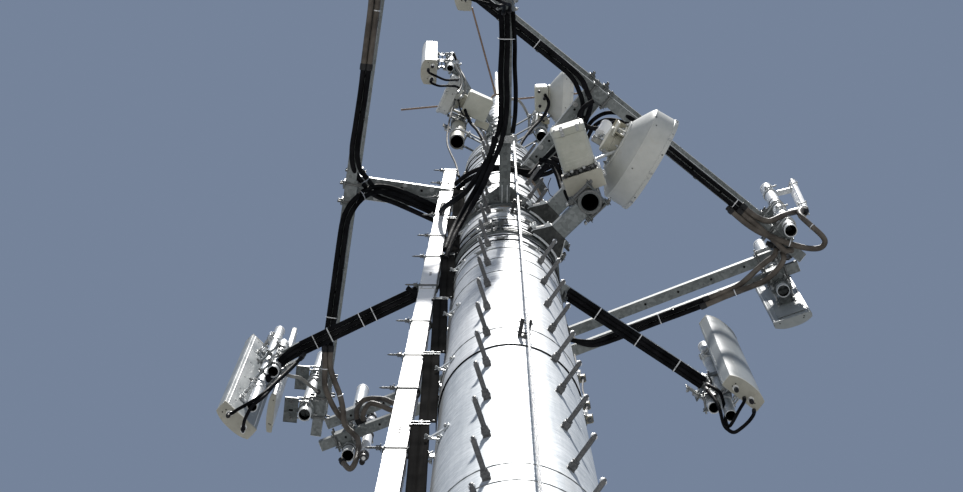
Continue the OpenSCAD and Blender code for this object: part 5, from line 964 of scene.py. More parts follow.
# slim panel on the far left corner: jaws, long channel brackets with a slot
for z in (21000, 22120):
    c = mix(fp[0][0], fp[0][1], z); d = adir(185); t = Z.cross(d)
    jaws(p, c, d, 89, GALV, w=46, reach=76); jaws(p, c+Z*130, d, 89, GALV, w=46, reach=76)
    p.box(c+d*62-Z*8, 8, 150, 48, GALV_DARK_AND_SHADE, (d, t, Z), 1.5)
    p.box(c+d*100+Z*(-36), 96, 170, 8, GALV_DARK_AND_SHADE, (d, t, Z), 1.2); p.box(c+d*100+t*83+Z*(-26), 96, 6, 28, GALV_DARK_AND_SHADE, (d, t, Z), 1.2); p.box(c+d*100-t*83+Z*(-26), 96, 6, 28, GALV_DARK_AND_SHADE, (d, t, Z), 1.2)
    p.box(c+d*142-Z*8, 6, 150, 50, GALV_DARK_AND_SHADE, (d, t, Z), 1.5)
    for s in (-54, 54):
        p.bolt(c+d*137+t*s-Z*8, -d, 17, STEEL, stub=6); p.bolt(c+d*100+t*s-Z*41, -Z, 15, STEEL_D, stub=6)
    # slot as a near-black sheet: painted shade
    p.box(c+d*100-Z*40.4, 30, 14, 1.2, SHADE_BLACK, (d, t, Z), 0.4)
for z in (21420, 22020):
    c = mix(fp[1][0], fp[1][1], z); q = V((-918, 1605, z)); d = (q-c).normalized(); t = Z.cross(d)
    jaws(p, c, d, 89, GALV, w=40, reach=58); jaws(p, q, -d, 66, PLASTIC, w=40, reach=44, back=20)
# boxes and clamps behind the corner panels, in dark galvanised as painted shade of the panels' backs
for i, az in ((3, 70.6), (5, 308)):
    for z in (20960, 21720):
        z += 40 if z < 21000 else 0
        c = mix(fp[i][0], fp[i][1], z); d = adir(az); t = Z.cross(d)
        jaws(p, c, d, 89, GALV_DARK_AND_SHADE, w=46, reach=70); jaws(p, c+Z*(92 if z < 21100 else -92), d, 89, GALV_DARK_AND_SHADE, w=40, reach=64)
        arms_plates(p, c+Z*34, d, 89, 112, GALV_DARK_AND_SHADE, w=96, h=100)
        p.box(c+d*82+Z*10, 60, 84, 5, GALV_DARK_AND_SHADE, (d, t, Z), 1)
for a, b in ((0, 2), (1, 4)):
    for z in (21640, 22620):
        c = mix(fp[b][0], fp[b][1], z); q = mix(sp[a][0], sp[a][1], z); d = (q-c).normalized(); t = Z.cross(d); L = (q-c).length
        jaws(p, c, d, 89, GALV_BRIGHT_AND_HIGHLIGHT, w=42, reach=62); p.box(c+d*((44+L)/2+4), L-56, 40, 34, GALV_BRIGHT_AND_HIGHLIGHT, (d, t, Z), 1.5)
        p.box(c+d*(L-26), 8, 84, 46, GALV_BRIGHT_AND_HIGHLIGHT, (d, t, Z), 1.5)
        for s in (-1, 1): p.stud(c+d*(L-34)+t*(s*44), c+d*(L+34)+t*(s*44), 9, STEEL, (4, -64), 15)
        p.box(c+d*(L+26), 6, 100, 34, GALV_BRIGHT_AND_HIGHLIGHT, (d, t, Z), 1.2)
p.done()
# slotted white clamp plate on the right rail's top, its slots near-black sheets as painted shade
p = Piece("rail_clamp_plate", "galv_bright")
n, t = adir(NRM[2]), adir(NRM[2]+90)
c = mix(fp[3][0], fp[3][1], HIGH_Z); s0 = c.dot(t)
p.box(n*(FACE_R+10)+t*(s0+10)+Z*(HIGH_Z+RAIL_W/2+6), 150, 130, 9, GALV_BRIGHT_AND_HIGHLIGHT, (n, t, Z), 1.5)
for i in (-1, 1):
    for j in (-1, 1):
        p.bolt(n*(FACE_R+10+i*56)+t*(s0+10+j*44)+Z*(HIGH_Z+RAIL_W/2+10), Z, 22, STEEL, stub=16)
        p.box(n*(FACE_R+10+i*22)+t*(s0+10+j*20)+Z*(HIGH_Z+RAIL_W/2+10.6), 26, 9, 0.8, SHADE_BLACK, (n, t, Z), 0.2)
p.done()

# ------------------------------------------------------------------ dishes
def dish_body(p, c, az, d, sh, cone, hub, ribs=0, dark=5, seed=0):
    """deep-shroud dish, front's middle at c, looking along az: cover, lip, shroud, back cone, hub"""
    ax = adir(az); R = d/2; c = V(c)
    p.lathe(c, ax, [(6, 2), (5.6, R*0.3), (4, R*0.7), (1.0, R-20), (0, R-12)], FABRIC, 96, cap0=False, cap1=False)
    prof = [(0, R-12), (1.5, R-5), (-1.0, R-1), (-4, R), (-20, R), (-23.5, R-0.8), (-25, R-3.6), (-26.5, R-4.6), (-40, R-4.6), (-sh*0.55, R-5.4), (-sh+14, R-6.4), (-sh+8, R-6.8), (-sh+3, R-8.2), (-sh, R-11), (-sh-cone*0.10, R-19), (-sh-cone*0.20, R-30)]
    for k in (0.30, 0.42, 0.56, 0.70, 0.84, 0.94):
        prof.append((-sh-cone*k, hub+(R-30-hub)*(1-k)**0.94/(0.80**0.94)))
    prof += [(-sh-cone*0.985, hub+4), (-sh-cone, hub-2), (-sh-cone, 2)]
    p.lathe(c, ax, prof, DISH, 96, cap0=False, cap1=False)
    # rolled rib where the shroud joins the reflector
    p.lathe(c-ax*(sh-6), ax, [(-5, R-8.4), (-4, R-5.4), (0, R-4.4), (4, R-5.4), (5, R-7)], DISH, 96, cap0=False, cap1=False)
    u, v, w = basis(ax)
    n = 12
    for i in range(n):
        k = 2*math.pi*(i+0.35)/n; o = u*math.cos(k)+v*math.sin(k)
        m = STEEL_D if (i+seed) % 2 else STEEL
        p.lathe(c-ax*12+o*(R-0.2), o, [(0, 5), (1.6, 5.4), (3.2, 4.6), (4.0, 2)], m, 12)
        if i % 2 == 0: p.lathe(c-ax*(sh-30)+o*(R-6.6), o, [(0, 4.6), (1.6, 5), (3, 3)], STEEL_D, 12)
    # clips that hold the cover
    for i in range(8):
        k = 2*math.pi*(i+0.1)/8; o = u*math.cos(k)+v*math.sin(k)
        p.box(c-ax*13+o*(R+1.0), 24, 13, 3, STEEL, (ax, ax.cross(o), o), 0.8)
    return u, v

DL, ADL = V((917,-537,19500)), 30.2
p = Piece("dish_large_detail", "radome", ("dish_large",))
dish_body(p, DL, ADL, 640, 157, 87, 170)
ax = adir(ADL); t = Z.cross(ax)
p.lathe(DL-ax*150+(t*(-math.sin(1.1))*1+Z*(-math.cos(1.1)))*311, (t*(-math.sin(1.1))+Z*(-math.cos(1.1))), [(0, 9), (3, 9), (5, 6)], STEEL_D, 14)
p.done()

p = Piece("dish_large_mount_detail", "galv_dark", ("dish_large_mount",))
dp = V((480, -480, 0)); L = dp.length; d45 = adir(-45); t45 = adir(45)
p.pipe(dp+Z*18050, dp+Z*20500, 114, 6, GALV_DARK_AND_SHADE, 44, inner=SHADE_BLACK)
# dark strap round the pipe's foot
p.lathe(dp+Z*18054, Z, [(0, 57.4), (0.5, 68), (3, 70), (57, 70), (60, 68), (60.5, 57.4)], STEEL_D, 44, cap0=False, cap1=False)
p.lathe(dp+Z*20496, Z, [(0, 57.2), (4, 58.6), (10, 58), (14, 50), (16, 30), (17, 1)], PLASTIC, 40)
w = 104
for z in (18120, 19200):
    r = pr(z-60); x0, x1 = r+26, L-66
    # stand-off: box section with eased edges, plates at its end and behind the pipe
    ring = lambda x_, k: [d45*x_+t45*(a*(w/2+0.6)*k)+Z*(z+b*(52.6)*k) for a, b in ((-1, -0.86), (-0.86, -1), (0.86, -1), (1, -0.86), (1, 0.86), (0.86, 1), (-0.86, 1), (-1, 0.86))]
    p.loft([ring(x0, 1), ring(x0+40, 1.0), ring((x0+x1)/2, 0.985), ring(x1-30, 1.0), ring(x1, 1)], GALV)
    p.box(d45*(x1+4.5)+Z*z, 10, 178, 102, GALV_DARK_AND_SHADE, (d45, t45, Z), 2)
    p.box(d45*(L+62)+Z*z, 10, 178, 102, GALV_DARK_AND_SHADE, (d45, t45, Z), 2)
    for s in (-1, 1):
        for zz in (-30, 30):
            p.stud(d45*(L-92)+t45*(s*76)+Z*(z+zz), d45*(L+92)+t45*(s*76)+Z*(z+zz), 16, STEEL_D, (18, -(184-18)), 26)
            p.lathe(d45*(L-98)+t45*(s*76)+Z*(z+zz), -d45, [(0, 8), (12, 8), (15, 5)], STEEL, 12)
    for zz in (-30, 30): p.ubolt(dp+Z*(z+zz), Z, -d45, 64, 92, 15, STEEL_D, plate=68)
    # saddle at the pole: rough cast body between two bright flanges, lug ears and through bolts
    for zz in (-70, 62):
        rings = []
        for j in range(21):
            a = -45+(-17+j*34/20); rings.append([pol(a, pr(z)+rr, z+zz+dz) for rr, dz in ((27.6, 0), (38, 0), (39, 1), (39, 7), (38, 8), (27.6, 8))])
        p.loft(rings, GALV_BRIGHT_AND_HIGHLIGHT, True, True)
    rings = []
    for j in range(15):
        a = -45+(-16+j*32/14); k = 1+0.03*math.sin(j*1.9); rings.append([pol(a, pr(z)+rr*k, z+dz) for rr, dz in ((27.2, -60), (33, -58), (34.5, 0), (33, 58), (27.2, 60))])
    p.loft(rings, GALV_DARK_AND_SHADE, True, True)
    def cast(x_, hw, hh, k=1): return [d45*x_+t45*(a_*hw)+Z*(z+b_*hh) for a_, b_ in ((-1, -0.9), (-0.93, -1), (0, -0.965), (0.93, -1), (1, -0.9), (1, 0.9), (0.93, 1), (-0.93, 1), (-1, 0.9))]
    p.loft([cast(r+16, 112, 59.5), cast(r+32, 113.5, 60.5), cast(r+62, 96, 59.5), cast(r+92, 78.5, 60.5), cast(r+121, 61, 59.5), cast(r+128, 56, 57)], CAST)
    for s in (-1, 1):
        # bright rolled lips along both lower edges, a second pair a little higher
        for dz, off in ((-58, 1), (-34, 5)):
            p.tube([d45*(r+20)+t45*(s*(111+off))+Z*(z+dz), d45*(r+34)+t45*(s*(112+off))+Z*(z+dz), d45*(r+78)+t45*(s*(85+off))+Z*(z+dz+1), d45*(r+124)+t45*(s*(58+off))+Z*(z+dz)], 6.5 if dz < -40 else 5, GALV_BRIGHT_AND_HIGHLIGHT, 7)
        p.box(d45*(r+24)+t45*(s*122)+Z*(z-6), 30, 30, 104, CAST, (d45, t45, Z), 4)
        # bolts and pad on the side toward the light are bright and on the other side dark: painted light and shade
        for zz in (-40, 34): p.bolt(d45*(r+39)+t45*(s*122)+Z*(z+zz), d45, 24, GALV_BRIGHT_AND_HIGHLIGHT if s < 0 else STEEL_D, stub=14)
        p.box(d45*(r+112)+t45*(s*72)+Z*(z-52), 34, 30, 12, GALV_BRIGHT_AND_HIGHLIGHT if s < 0 else GALV_DARK_AND_SHADE, (d45, t45, Z), 2)
    p.box(d45*(r+96)+t45*86+Z*(z-8), 12, 70, 96, CAST, (d45, t45, Z), 2); p.bolt(d45*(r+102)+t45*98+Z*(z-30), d45, 20, STEEL_D, stub=10)
p.done()

def rounded_case(p, c, ax, sx, sy, sz, mat, r=30, ch=7, n=6, lid=None, groove=True):
    """radio case: rounded rectangle sx by sy, height sz along ax[2], eased ends, a seam near one end"""
    u, v, w = [V(q).normalized() for q in ax]; c = V(c)
    def ring(z, s):
        out = []
        for i, (a, b) in enumerate(((1, 1), (-1, 1), (-1, -1), (1, -1))):
            for k in range(n+1):
                t = math.radians(90*i+90*k/n); out.append(c+u*((sx/2-r)*a+(r-s)*math.cos(t))+v*((sy/2-r)*b+(r-s)*math.sin(t))+w*z)
        return out
    h = sz/2
    rr = [(-h, ch+6), (-h+1.2, ch), (-h+ch*0.5, ch*0.3), (-h+ch, 0)]
    if groove: rr += [(h-46, 0), (h-45, 2.4), (h-41, 2.4), (h-40, -1.2)]
    rr += [(h-ch, -1.2 if groove else 0), (h-ch*0.4, ch*0.3), (h-1, ch), (h, ch+8)]
    k = 7 if groove else len(rr)
    p.loft([ring(z, s) for z, s in rr[:k]], mat, True, not groove)
    if groove: p.loft([ring(z, s) for z, s in rr[k-1:]], lid or mat, False, True)
    return lambda a, b, z: c+u*a+v*b+w*z

p = Piece("dish_large_radio_detail", "radio_beige", ("dish_large_radio",))
# radio case behind the dish, its lid end outward; long axis in plan (0.3, 0.954)
ra = V((-0.312, -0.950, 0)); rb = V((0.950, -0.312, 0))
C = V((384, -777, 18343)); K = 0.93
G1 = rounded_case(p, C, (rb, Z, ra), 199, 300, 250, RADIO, r=41, ch=9, lid=RADIO)
def G(a, b, z): return G1(a*K, b*K, z*K)
for k in range(7): p.box(G(0, -160+0, -100+k*22), 150, 3.4, 7, RADIO, (rb, Z, ra), 1)
# lid latches and the white bracket on the lid's edge
p.box(G(-40, -163, 118), 20, 10, 60, STEEL, (rb, Z, ra), 2); p.box(G(-40, -168, 136), 12, 8, 16, WHITE, (rb, Z, ra), 2); p.rod(G(-52, -168, 96), G(-28, -168, 96), 9, STEEL, 10)
p.box(G(60, -162, 118), 18, 8, 40, STEEL, (rb, Z, ra), 2)
for x_ in (-108,): p.box(G(x_, 20, 110), 8, 120, 16, RADIO_L, (rb, Z, ra), 2)
for x_, y_ in ((-84, -128), (84, -128), (-84, 128), (84, 128)): p.bolt(G(x_, y_, 134), ra, 10, STEEL, washer=True)
# foot end: connector panel, nuts, coupling
p.box(G(0, -60, -140), 206, 130, 14, RADIO_L, (rb, Z, ra), 3)
for i, (x_, y_) in enumerate(((-82, -118), (-50, -100), (-16, -120), (20, -104), (52, -122), (86, -100), (-66, -62), (0, -66), (64, -60))):
    p.bolt(G(x_, y_, -146), -ra, 18 if i % 2 else 14, CONN if i % 3 else STEEL_D, stub=10, phase=rng.random())
    if i % 2 == 0: p.lathe(G(x_, y_, -158), -ra, [(0, 7), (2, 9), (22, 9), (26, 6)], PLASTIC, 14)
for i, (x_, y_) in enumerate(((-96, -96), (-30, -130), (38, -134), (98, -128))): p.lathe(G(x_, y_, -148), V((0, 0, -1)), [(0, 9), (3, 12), (22, 12), (26, 8)], PLASTIC, 14)
# cream mounting bracket on the pipe: two cheeks with turned edges, joined behind it
m0 = V((452, -579, 18190)); u0, v0 = adir(-19.7), adir(70.3)
p.box(m0-v0*2+Z*135, 228, 101, 268, CREAM, (u0, v0, Z), 4)
for zz in (5, 265): p.box(m0-v0*0+Z*zz, 233, 109, 7, CREAM, (u0, v0, Z), 1.5)
for s in (-1, 1): p.box(m0+u0*(s*115)+Z*135, 5, 109, 262, CREAM, (u0, v0, Z), 1.5)
for s in (-1, 1):
    for zz in (50, 135, 220): p.bolt(m0+u0*(s*118)+Z*zz, u0*s, 17, STEEL, stub=6)
for uc in (-70, 70):
    for zz in (60, 210): p.bolt(m0+u0*uc-v0*55+Z*zz, -v0, 17, STEEL, stub=8)
p.box(m0-v0*72+Z*135, 120, 40, 188, GALV_DARK_AND_SHADE, (u0, v0, Z), 3)
for k in range(9): p.lathe(m0-v0*(66+9*(k % 3))+u0*(-98+k*24.5)+Z*(14+5*(k % 2)), -Z, [(0, 8), (3, 11), (20, 11), (26, 7)], (PLASTIC, STEEL_D, STEEL)[k % 3], 12)
for k in range(6): p.box(m0-v0*(66+8*(k % 2))+u0*(-86+k*34)+Z*30, 14, 18, 26, (STEEL_D, PLASTIC)[k % 2], (u0, v0, Z), 2)
p.rod(m0-v0*58+u0*112+Z*10, m0-v0*92+u0*96+Z*60, 17, WHITE, 14); p.rod(m0-v0*50+u0*108-Z*2, m0-v0*150+u0*92+Z*40, 13, GALV_BRIGHT_AND_HIGHLIGHT, 12)
# strap round pipe and box
ubs = V((480, -480, 18330))
for zz in (-60, 60): p.ubolt(ubs+Z*zz, Z, -v0, 63, 84, 14, STEEL, plate=None)
p.box(ubs+v0*66, 10, 150, 180, GALV_DARK_AND_SHADE, (v0, u0, Z), 2)
for s in (-1, 1):
    for zz in (-60, 60): p.stud(ubs+v0*84+u0*(s*68)+Z*zz, ubs-v0*40+u0*(s*68)+Z*zz, 14, STEEL_D, (10,), 22)
for s in (-1, 1): p.box(V((480, -560, 19300))+rb*(s*70), 12, 120, 300, CREAM, (rb, ra, Z), 2)
p.box(V((478, -572, 19300)), 150, 10, 300, CREAM, (rb, ra, Z), 2)
p.tube([V((281, -485, 19200)), V((270, -460, 19190)), V((264, -436, 19200)), V((268, -404, 19210)), V((280, -378, 19200)), V((312, -360, 19200))], 5, TAPE, 8)
# tan side plate with slots and pale bolts between bracket and dish hub, the slots near-black strips as painted shade
h0 = DL-ax*244
p.lathe(h0+ax*2, -ax, [(0, 168), (3, 170), (9, 170), (12, 166)], DISH, 72)
p.lathe(h0-ax*10, -ax, [(0, 96), (4, 98), (40, 98), (44, 88), (78, 86), (84, 80)], CREAM, 48)
for i in range(8):
    k = 2*math.pi*i/8; o = t*math.cos(k)+Z*math.sin(k); p.bolt(h0-ax*10+o*134, -ax, 17, STEEL, stub=9)
    p.bolt(h0-ax*54+o*78, -ax, 12, STEEL)
q = h0-ax*30
p.box(q-t*70-Z*0, 84, 8, 250, TAN, (ax, t, Z), 2); p.box(q-t*66+Z*128-ax*8, 96, 120, 8, TAN, (ax, t, Z), 2)
p.box(q-ax*44-t*84-Z*30, 10, 96, 190, CREAM, (ax, t, Z), 2)
for a_, z_ in ((-24, -96), (14, -96), (-24, -52), (14, -44), (-24, 62), (14, 70)):
    p.bolt(q-t*74.5+ax*a_+Z*z_, -t, 19, WHITE if (a_+z_) % 3 else STEEL, stub=8)
for a_, z_, h_ in ((-4, 6, 54), (-30, 4, 40)): p.box(q-t*74.6+ax*a_+Z*z_, 9, 1.2, h_, SHADE_BLACK, (ax, t, Z), 0.3)
for zz in (19392, 19560): p.stud(V((590, -640, zz)), V((760, -585, zz)), 14, STEEL, (16, -150), 23)
# elevation strut
p.rod(V((520, -590, 19210)), V((700, -640, 19400)), 18, GALV_BRIGHT_AND_HIGHLIGHT, 16); p.bolt(V((520, -590, 19210)), V((-1, .3, -1)), 26, STEEL, h=14)
# pale cylinder (surge arrester) above the plate
c0 = V((602, -700, 19752)); c1 = V((648, -760, 19850)); p.lathe(c0, c1-c0, [(0, 30), (3, 37), (18, 38), (22, 35), (96, 35), (100, 38), (116, 38), (121, 32)], WHITE, 32)
p.lathe(c0, c0-c1, [(0, 16), (16, 16), (18, 10), (40, 10)], CONN, 18)
p.box(V((588, -664, 19700)), 90, 40, 40, STEEL, (ax, t, Z), 4); p.box(V((640, -690, 19690)), 50, 30, 60, GALV_BRIGHT_AND_HIGHLIGHT, (ax, t, Z), 3)
for i in range(4): p.bolt(V((560+i*28, -690-i*4, 19684-6*(i % 2))), V((0.1, -1, -0.4)), 17, STEEL, stub=10, phase=i*.4)
p.done()

# small dish
p = Piece("dish_small_detail", "radome", ("dish_small",))
dish_body(p, V((-465,-447,25600)), 203.3, 345, 92, 44, 80, seed=1); p.done()
p = Piece("dish_small_mount_detail", "radio_beige", ("dish_small_mount",))
sm = V((-343, -171, 0)); ds = adir(203.3); ts = Z.cross(ds)
p.pipe(sm+Z*24300, sm+Z*26050, 114, 6, CREAM, 44, inner=SHADE_BLACK)
p.lathe(sm+Z*24298, Z, [(0, 50.8), (0, 58), (2, 60), (26, 60), (28, 57.2)], STEEL_D, 36, cap0=False, cap1=False)
p.lathe(sm+Z*26046, Z, [(0, 57.2), (4, 58.6), (10, 57), (14, 40), (15, 1)], PLASTIC, 40)
for z in (24700, 25900):
    dr = (sm).normalized(); tr = Z.cross(dr)
    r0 = 110; L0 = sm.length
    # the stand-off arm plates are dark galvanised as painted shade, for they sit in shadow
    for s in (-1, 1): p.box(dr*((r0+L0-60)/2+6)+tr*(s*44)+Z*z, L0-60-r0, 9, 84, GALV_DARK_AND_SHADE, (dr, tr, Z), 1.5)
    p.box(dr*(r0+8)+Z*z, 12, 150, 110, GALV, (dr, tr, Z), 2); p.box(dr*(L0-62)+Z*z, 9, 140, 100, GALV, (dr, tr, Z), 2)
    for zz in (-26, 26): p.ubolt(sm+Z*(z+zz), Z, -dr, 63, 78, 14, STEEL, plate=68); p.ubolt(V((0, 0, z+zz)), Z, dr, 117, 128, 14, STEEL_D, plate=122 if False else None)
    for s in (-1, 1): p.stud(dr*128+tr*(s*117)+Z*(z-26)-dr*10, dr*150+tr*(s*117)+Z*(z-26), 14, STEEL, (14,), 23)
jaws(p, sm+Z*25520, ds, 114, GALV_DARK_AND_SHADE, w=46, reach=96, rods=14); jaws(p, sm+Z*25690, ds, 114, GALV_DARK_AND_SHADE, w=46, reach=96, rods=14)
hb = V((-465,-447,25600))-ds*136
p.lathe(hb+ds*2, -ds, [(0, 78), (3, 82), (14, 82), (18, 60), (60, 58), (64, 50)], CREAM, 40)
for i in range(6):
    k = 2*math.pi*i/6; p.bolt(hb-ds*14+ts*(70*math.cos(k))+Z*(70*math.sin(k)), -ds, 13, STEEL, stub=6)
p.box((hb+sm+Z*25600)/2+Z*0-ds*6, (hb-sm-Z*25600).length*0.9, 12, 150, CREAM, (ds, ts, Z), 2.5)
for s in (-1, 1): p.box(sm+ds*88+Z*25606+ts*(s*46), 70, 8, 210, GALV_DARK_AND_SHADE, (ds, ts, Z), 1.5)
for s in (-1, 1):
    for zz in (-70, 0, 70): p.bolt(sm+ds*96+Z*(25606+zz)+ts*(s*50), ts*s, 17, STEEL, stub=7)
rc = V((-188, -348, 25525)); u1 = V((0.917, 0.398, 0)); v1 = V((-0.398, 0.917, 0))
G = rounded_case(p, rc, (u1, -v1, -Z), 214, 194, 250, RADIO, r=20, ch=8, lid=RADIO)
p.box(V((-270, -290, 25540)), 80, 60, 110, TAN, (u1, v1, Z), 3); p.bolt(V((-300, -300, 25500)), -u1, 18, STEEL, stub=8)
p.box(V((-236, -262, 25480)), 110, 14, 60, CREAM, (u1, v1, Z), 3); p.box(V((-150, -190, 25560)), 120, 60, 12, CREAM, (u1, v1, Z), 3)
p.done()
# rear dish
p = Piece("dish_rear_detail", "radome", ("dish_rear",))
dish_body(p, V((598,-406,25500)), 2, 500, 90, 100, 120, seed=1); p.done()
p = Piece("dish_rear_mount_detail", "radio_beige", ("dish_rear_mount",))
rr_ = V((330, -190, 0)); dr = rr_.normalized(); tr = Z.cross(dr); L0 = rr_.length
p.pipe(rr_+Z*24600, rr_+Z*26500, 89, 5, GALV, 36, inner=SHADE_BLACK); p.lathe(rr_+Z*26496, Z, [(0, 44.7), (4, 46), (10, 44), (13, 30), (14, 1)], PLASTIC, 32)
for z in (24900, 26200):
    # the stand-off arm plates are dark galvanised as painted shade, for they sit in shadow
    for s in (-1, 1): p.box(dr*((110+L0-48)/2+4)+tr*(s*38)+Z*z, L0-48-110, 9, 70, GALV_DARK_AND_SHADE, (dr, tr, Z), 1.5)
    p.box(dr*118+Z*z, 12, 140, 100, GALV, (dr, tr, Z), 2); p.box(dr*(L0-50)+Z*z, 9, 120, 90, GALV, (dr, tr, Z), 2)
    for zz in (-22, 22): p.ubolt(rr_+Z*(z+zz), Z, -dr, 50, 64, 13, STEEL, plate=54); p.ubolt(V((0, 0, z+zz)), Z, dr, 117, 126, 13, STEEL_D)
a0 = adir(2); jaws(p, rr_+Z*25450, V((0.3, -1, 0)), 89, GALV_DARK_AND_SHADE, w=44, reach=80); jaws(p, rr_+Z*25570, V((0.3, -1, 0)), 89, GALV_DARK_AND_SHADE, w=44, reach=80)
hb = V((598,-406,25500))-a0*190; tt = Z.cross(a0)
p.lathe(hb+a0*2, -a0, [(0, 118), (3, 122), (12, 122), (16, 70), (30, 66), (34, 60)], CREAM, 40)
for i in range(8): k = 2*math.pi*i/8; p.bolt(hb-a0*12+tt*(104*math.cos(k))+Z*(104*math.sin(k)), -a0, 14, STEEL, stub=6)
rc = V((341, -423, 25490)); u1 = adir(88); v1 = adir(178)
G = rounded_case(p, rc, (u1, -v1, -Z), 206, 108, 300, RADIO, r=20, ch=8, lid=RADIO)
p.box(G(-98, 0, -90), 12, 100, 26, WHITE, (u1, v1, Z), 2)
for a_, b_ in ((-70, -20), (-10, 22), (50, -16)): connector(p, G(a_, b_, 151), -Z, 0.85)
p.box(V((352, -252, 25500)), 80, 44, 150, CREAM, ch=3); p.box(V((366, -232, 25440)), 90, 40, 60, TAN, ch=3)
for s in (-30, 30): p.bolt(V((352+s, -275, 25560)), -Y, 17, STEEL, stub=7)
p.done()

# sector antenna at the upper left, with its pipe, arms and tilt brackets
p = Piece("sector_small_detail", "radome_white", ("sector_small",))
W = radome(p, V((-520,-662,25000)), (-36, 0), 183, 200, 130, 96, 2200, RADOME_WHITE_AND_HIGHLIGHT, CAPB, conns=((36, -52), (36, 52)), holes=4)
q0 = V((-420, -640, 25740)); p.pipe(q0, q0+Z*1410, 60, 4, GALV_BRIGHT_AND_HIGHLIGHT, 30, inner=SHADE_BLACK)
p.lathe(q0+Z*1406, Z, [(0, 30.2), (3, 32), (20, 32), (24, 28), (30, 12), (31, 1)], WHITE, 28)
for za, z in ((25800, 26000), (26750, 26750)):
    a, b = V((-62, -94, za)), V((-394, -600, z)); dd = (b-a).normalized()
    # curved brown-grey arm out from the extension pipe
    p.tube([a, a.lerp(b, 0.3)+V((-10, 8, 6)), a.lerp(b, 0.6)+V((-12, 9, 8)), b], 48, GALV, 20, step=40)
    for zz in (-24, 24): p.ubolt(V((0, 0, za+zz)), Z, V((-0.55, -0.83, 0)), 117, 128, 13, STEEL_D)
    p.box(V((-0.55, -0.83, 0))*122+Z*za, 10, 170, 100, GALV, (V((-0.55, -0.83, 0)), V((0.83, -0.55, 0)), Z), 2)
    p.box(b-V((dd.x, dd.y, 0))*30, 10, 104, 104, GALV, (V((dd.x, dd.y, 0)).normalized(), Z.cross(dd).normalized(), Z), 2)
    for zz in (-24, 24): p.ubolt(V((-420, -640, z+zz)), Z, -V((dd.x, dd.y, 0)), 37, 56, 12, STEEL, plate=44)
    c = V((-420, -640, z+70)); d = adir(184); L_ = 116 if z < 26500 else 129
    jaws(p, c, d, 60, GALV, w=44, reach=58); arms_plates(p, c, d, 60, L_, GALV, w=50, h=50)
    scissor(p, c+Z*20, d, 60, L_, GALV_BRIGHT_AND_HIGHLIGHT, up=110, w=50)
p.done()
# its two jumpers, dark and grey, with loops by the pipe
p = Piece("sector_small_jumpers", "cable_black")
for pts, m_ in (([(-565,-600,24960), (-560,-585,24900), (-500,-560,24930), (-430,-545,25120), (-360,-520,25350), (-320,-470,25600), (-290,-410,25800), (-240,-330,25980), (-190,-250,26080), (-130,-150,26120)], BLACK),
                ([(-588,-690,24960), (-580,-670,24890), (-520,-640,24900), (-450,-600,25040), (-380,-580,25300), (-345,-560,25650), (-350,-600,26000), (-372,-660,26250), (-400,-720,26300)], BLACK_R),
                ([(-350,-470,25300), (-320,-520,25450), (-330,-590,25600), (-365,-640,25700), (-392,-690,25780)], GREYJ),
                ([(-330,-430,25330), (-290,-480,25460), (-295,-560,25600), (-335,-620,25760), (-372,-690,25860)], GREYJ)):
    c = p.tube(pts, 19, m_, 12, step=18)
    for q, dn in ((c[0], c[1]-c[0]), (c[-1], c[-2]-c[-1])): p.lathe(q, dn, [(0, 9), (2, 12.5), (36, 12.5), (40, 10)], TAPE if m_ is not GREYJ else CONN, 14)
p.done()
